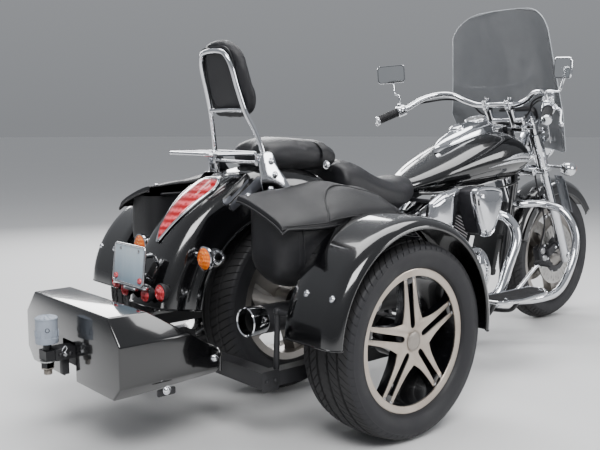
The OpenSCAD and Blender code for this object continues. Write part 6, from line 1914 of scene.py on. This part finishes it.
def on_screen(u, v, inward):
    """A point on the curved screen: u across, v up, inward towards the rider."""
    radius = 0.42 - inward
    a = asin(max(-1, min(1, 1.09 * u / 0.42)))
    local = Vector((0.078 - 0.42 + radius * cos(a), radius * sin(a), v))
    lean = Matrix.Rotation(radians(9), 4, "Y")
    return STEER @ (Vector((-0.012, 0, 0.566)) + lean @ local)


edge = screen_edge()
# The screen is filled by strips across it, from the notch to the crown
screen_rows = []
heights = [0.0005 + 0.639 * (k / 44) for k in range(45)]


def reach_at(v):
    """How far out the screen runs at a height."""
    far = [u0 + (u1 - u0) * (v - v0) / (v1 - v0) for (u0, v0), (u1, v1) in zip(edge, edge[1:])
        if min(v0, v1) <= v <= max(v0, v1) and abs(v1 - v0) > 1e-9]
    return max(far) if far else 0.0


def start_at(v):
    """Where it starts beside the notch for the headlamp."""
    if v <= 0.02:
        return 0.104
    return sqrt(max(0.0, 0.104 ** 2 - (v - 0.02) ** 2)) if v < 0.124 else 0.0


for side in (1, -1):
    for inward in (0.0, 0.0045):
        screen_rows.append([[on_screen(side * (start_at(v) + (reach_at(v) - start_at(v)) * k / 18), v,
            inward) for k in range(19)] for v in heights])
sheets = [netted(rows, loop=False) for rows in screen_rows]
outline_full = [on_screen(u, v, 0.00225) for u, v in edge] + [on_screen(-u, v, 0.00225) for u,
    v in edge[::-1]]
# Acrylic edge: brighter, where light is trapped in the sheet
edge_glow = surface("acrylic_edge", "9DA1A6", "B4B8BC", (0.15, 0.25), patch=0.05, grain=0.003, bump=0.05)
bead = pipe([outline_full[i] for i in range(len(outline_full)) if i == 0
    or (outline_full[i] - outline_full[i - 1]).length > 1e-4], 0.0023, 8, 1)
rods, pads = [], []
for z_local, low_v in ((0.64, 0.085), (0.6, 0.045)):
    for side in (1, -1):
        hold = on_screen(side * 0.111, low_v, 0.007)
        foot = STEER @ Vector((0.028, side * 0.111, z_local))
        rods.append(pipe([foot, foot * 0.5 + hold * 0.5, hold], 0.007, 12, 2))
        rods.append(dome_nut(tuple(on_screen(side * 0.111, low_v, -0.001)), (0.95, 0, 0.3), 0.009, 0.006))
        rods.append(moved(turned([(0, -0.003), (0.013, -0.003), (0.013, 0.003), (0, 0.003)], (0, 0, 0),
            (0.95, 0, 0.3), 20), Matrix.Translation(on_screen(side * 0.111, low_v, 0.006))))
braces = [pipe([on_screen(side * 0.15, v, 0.0075) for v in (0.03, 0.1, 0.18, 0.255)], 0.0042, 10, 4)
    for side in (1, -1)]
make("windshield_sheet", [(joined(*sheets), smoke), (bead, edge_glow), (joined(*rods), chrome),
    (joined(*braces), chrome)], "steering", "windshield", angle=60)
pouch_rows = []
for inward, grow in ((0.006, -0.012), (0.008, -0.003), (0.014, 0.0), (0.026, 0.0), (0.034, -0.005),
        (0.038, -0.016)):
    rim_line = rounded([(-0.1 - grow, 0.05 - grow), (0.1 + grow, 0.05 - grow), (0.092 + grow, 0.122 + grow),
        (-0.092 - grow, 0.122 + grow)], 0.022, 5)
    pouch_rows.append([on_screen(u, v + 0.075, inward) for u, v in rim_line])
flap_line = pipe([on_screen(u, 0.155 + 0.01 * cos(u / 0.09 * pi / 2), 0.0385)
    for u in (-0.085, -0.05, 0, 0.05, 0.085)], 0.0022, 8, 5)
make("windshield_pouch", [(netted(pouch_rows), bag_hide), (flap_line, bag_hide)], "steering",
    angle=50)
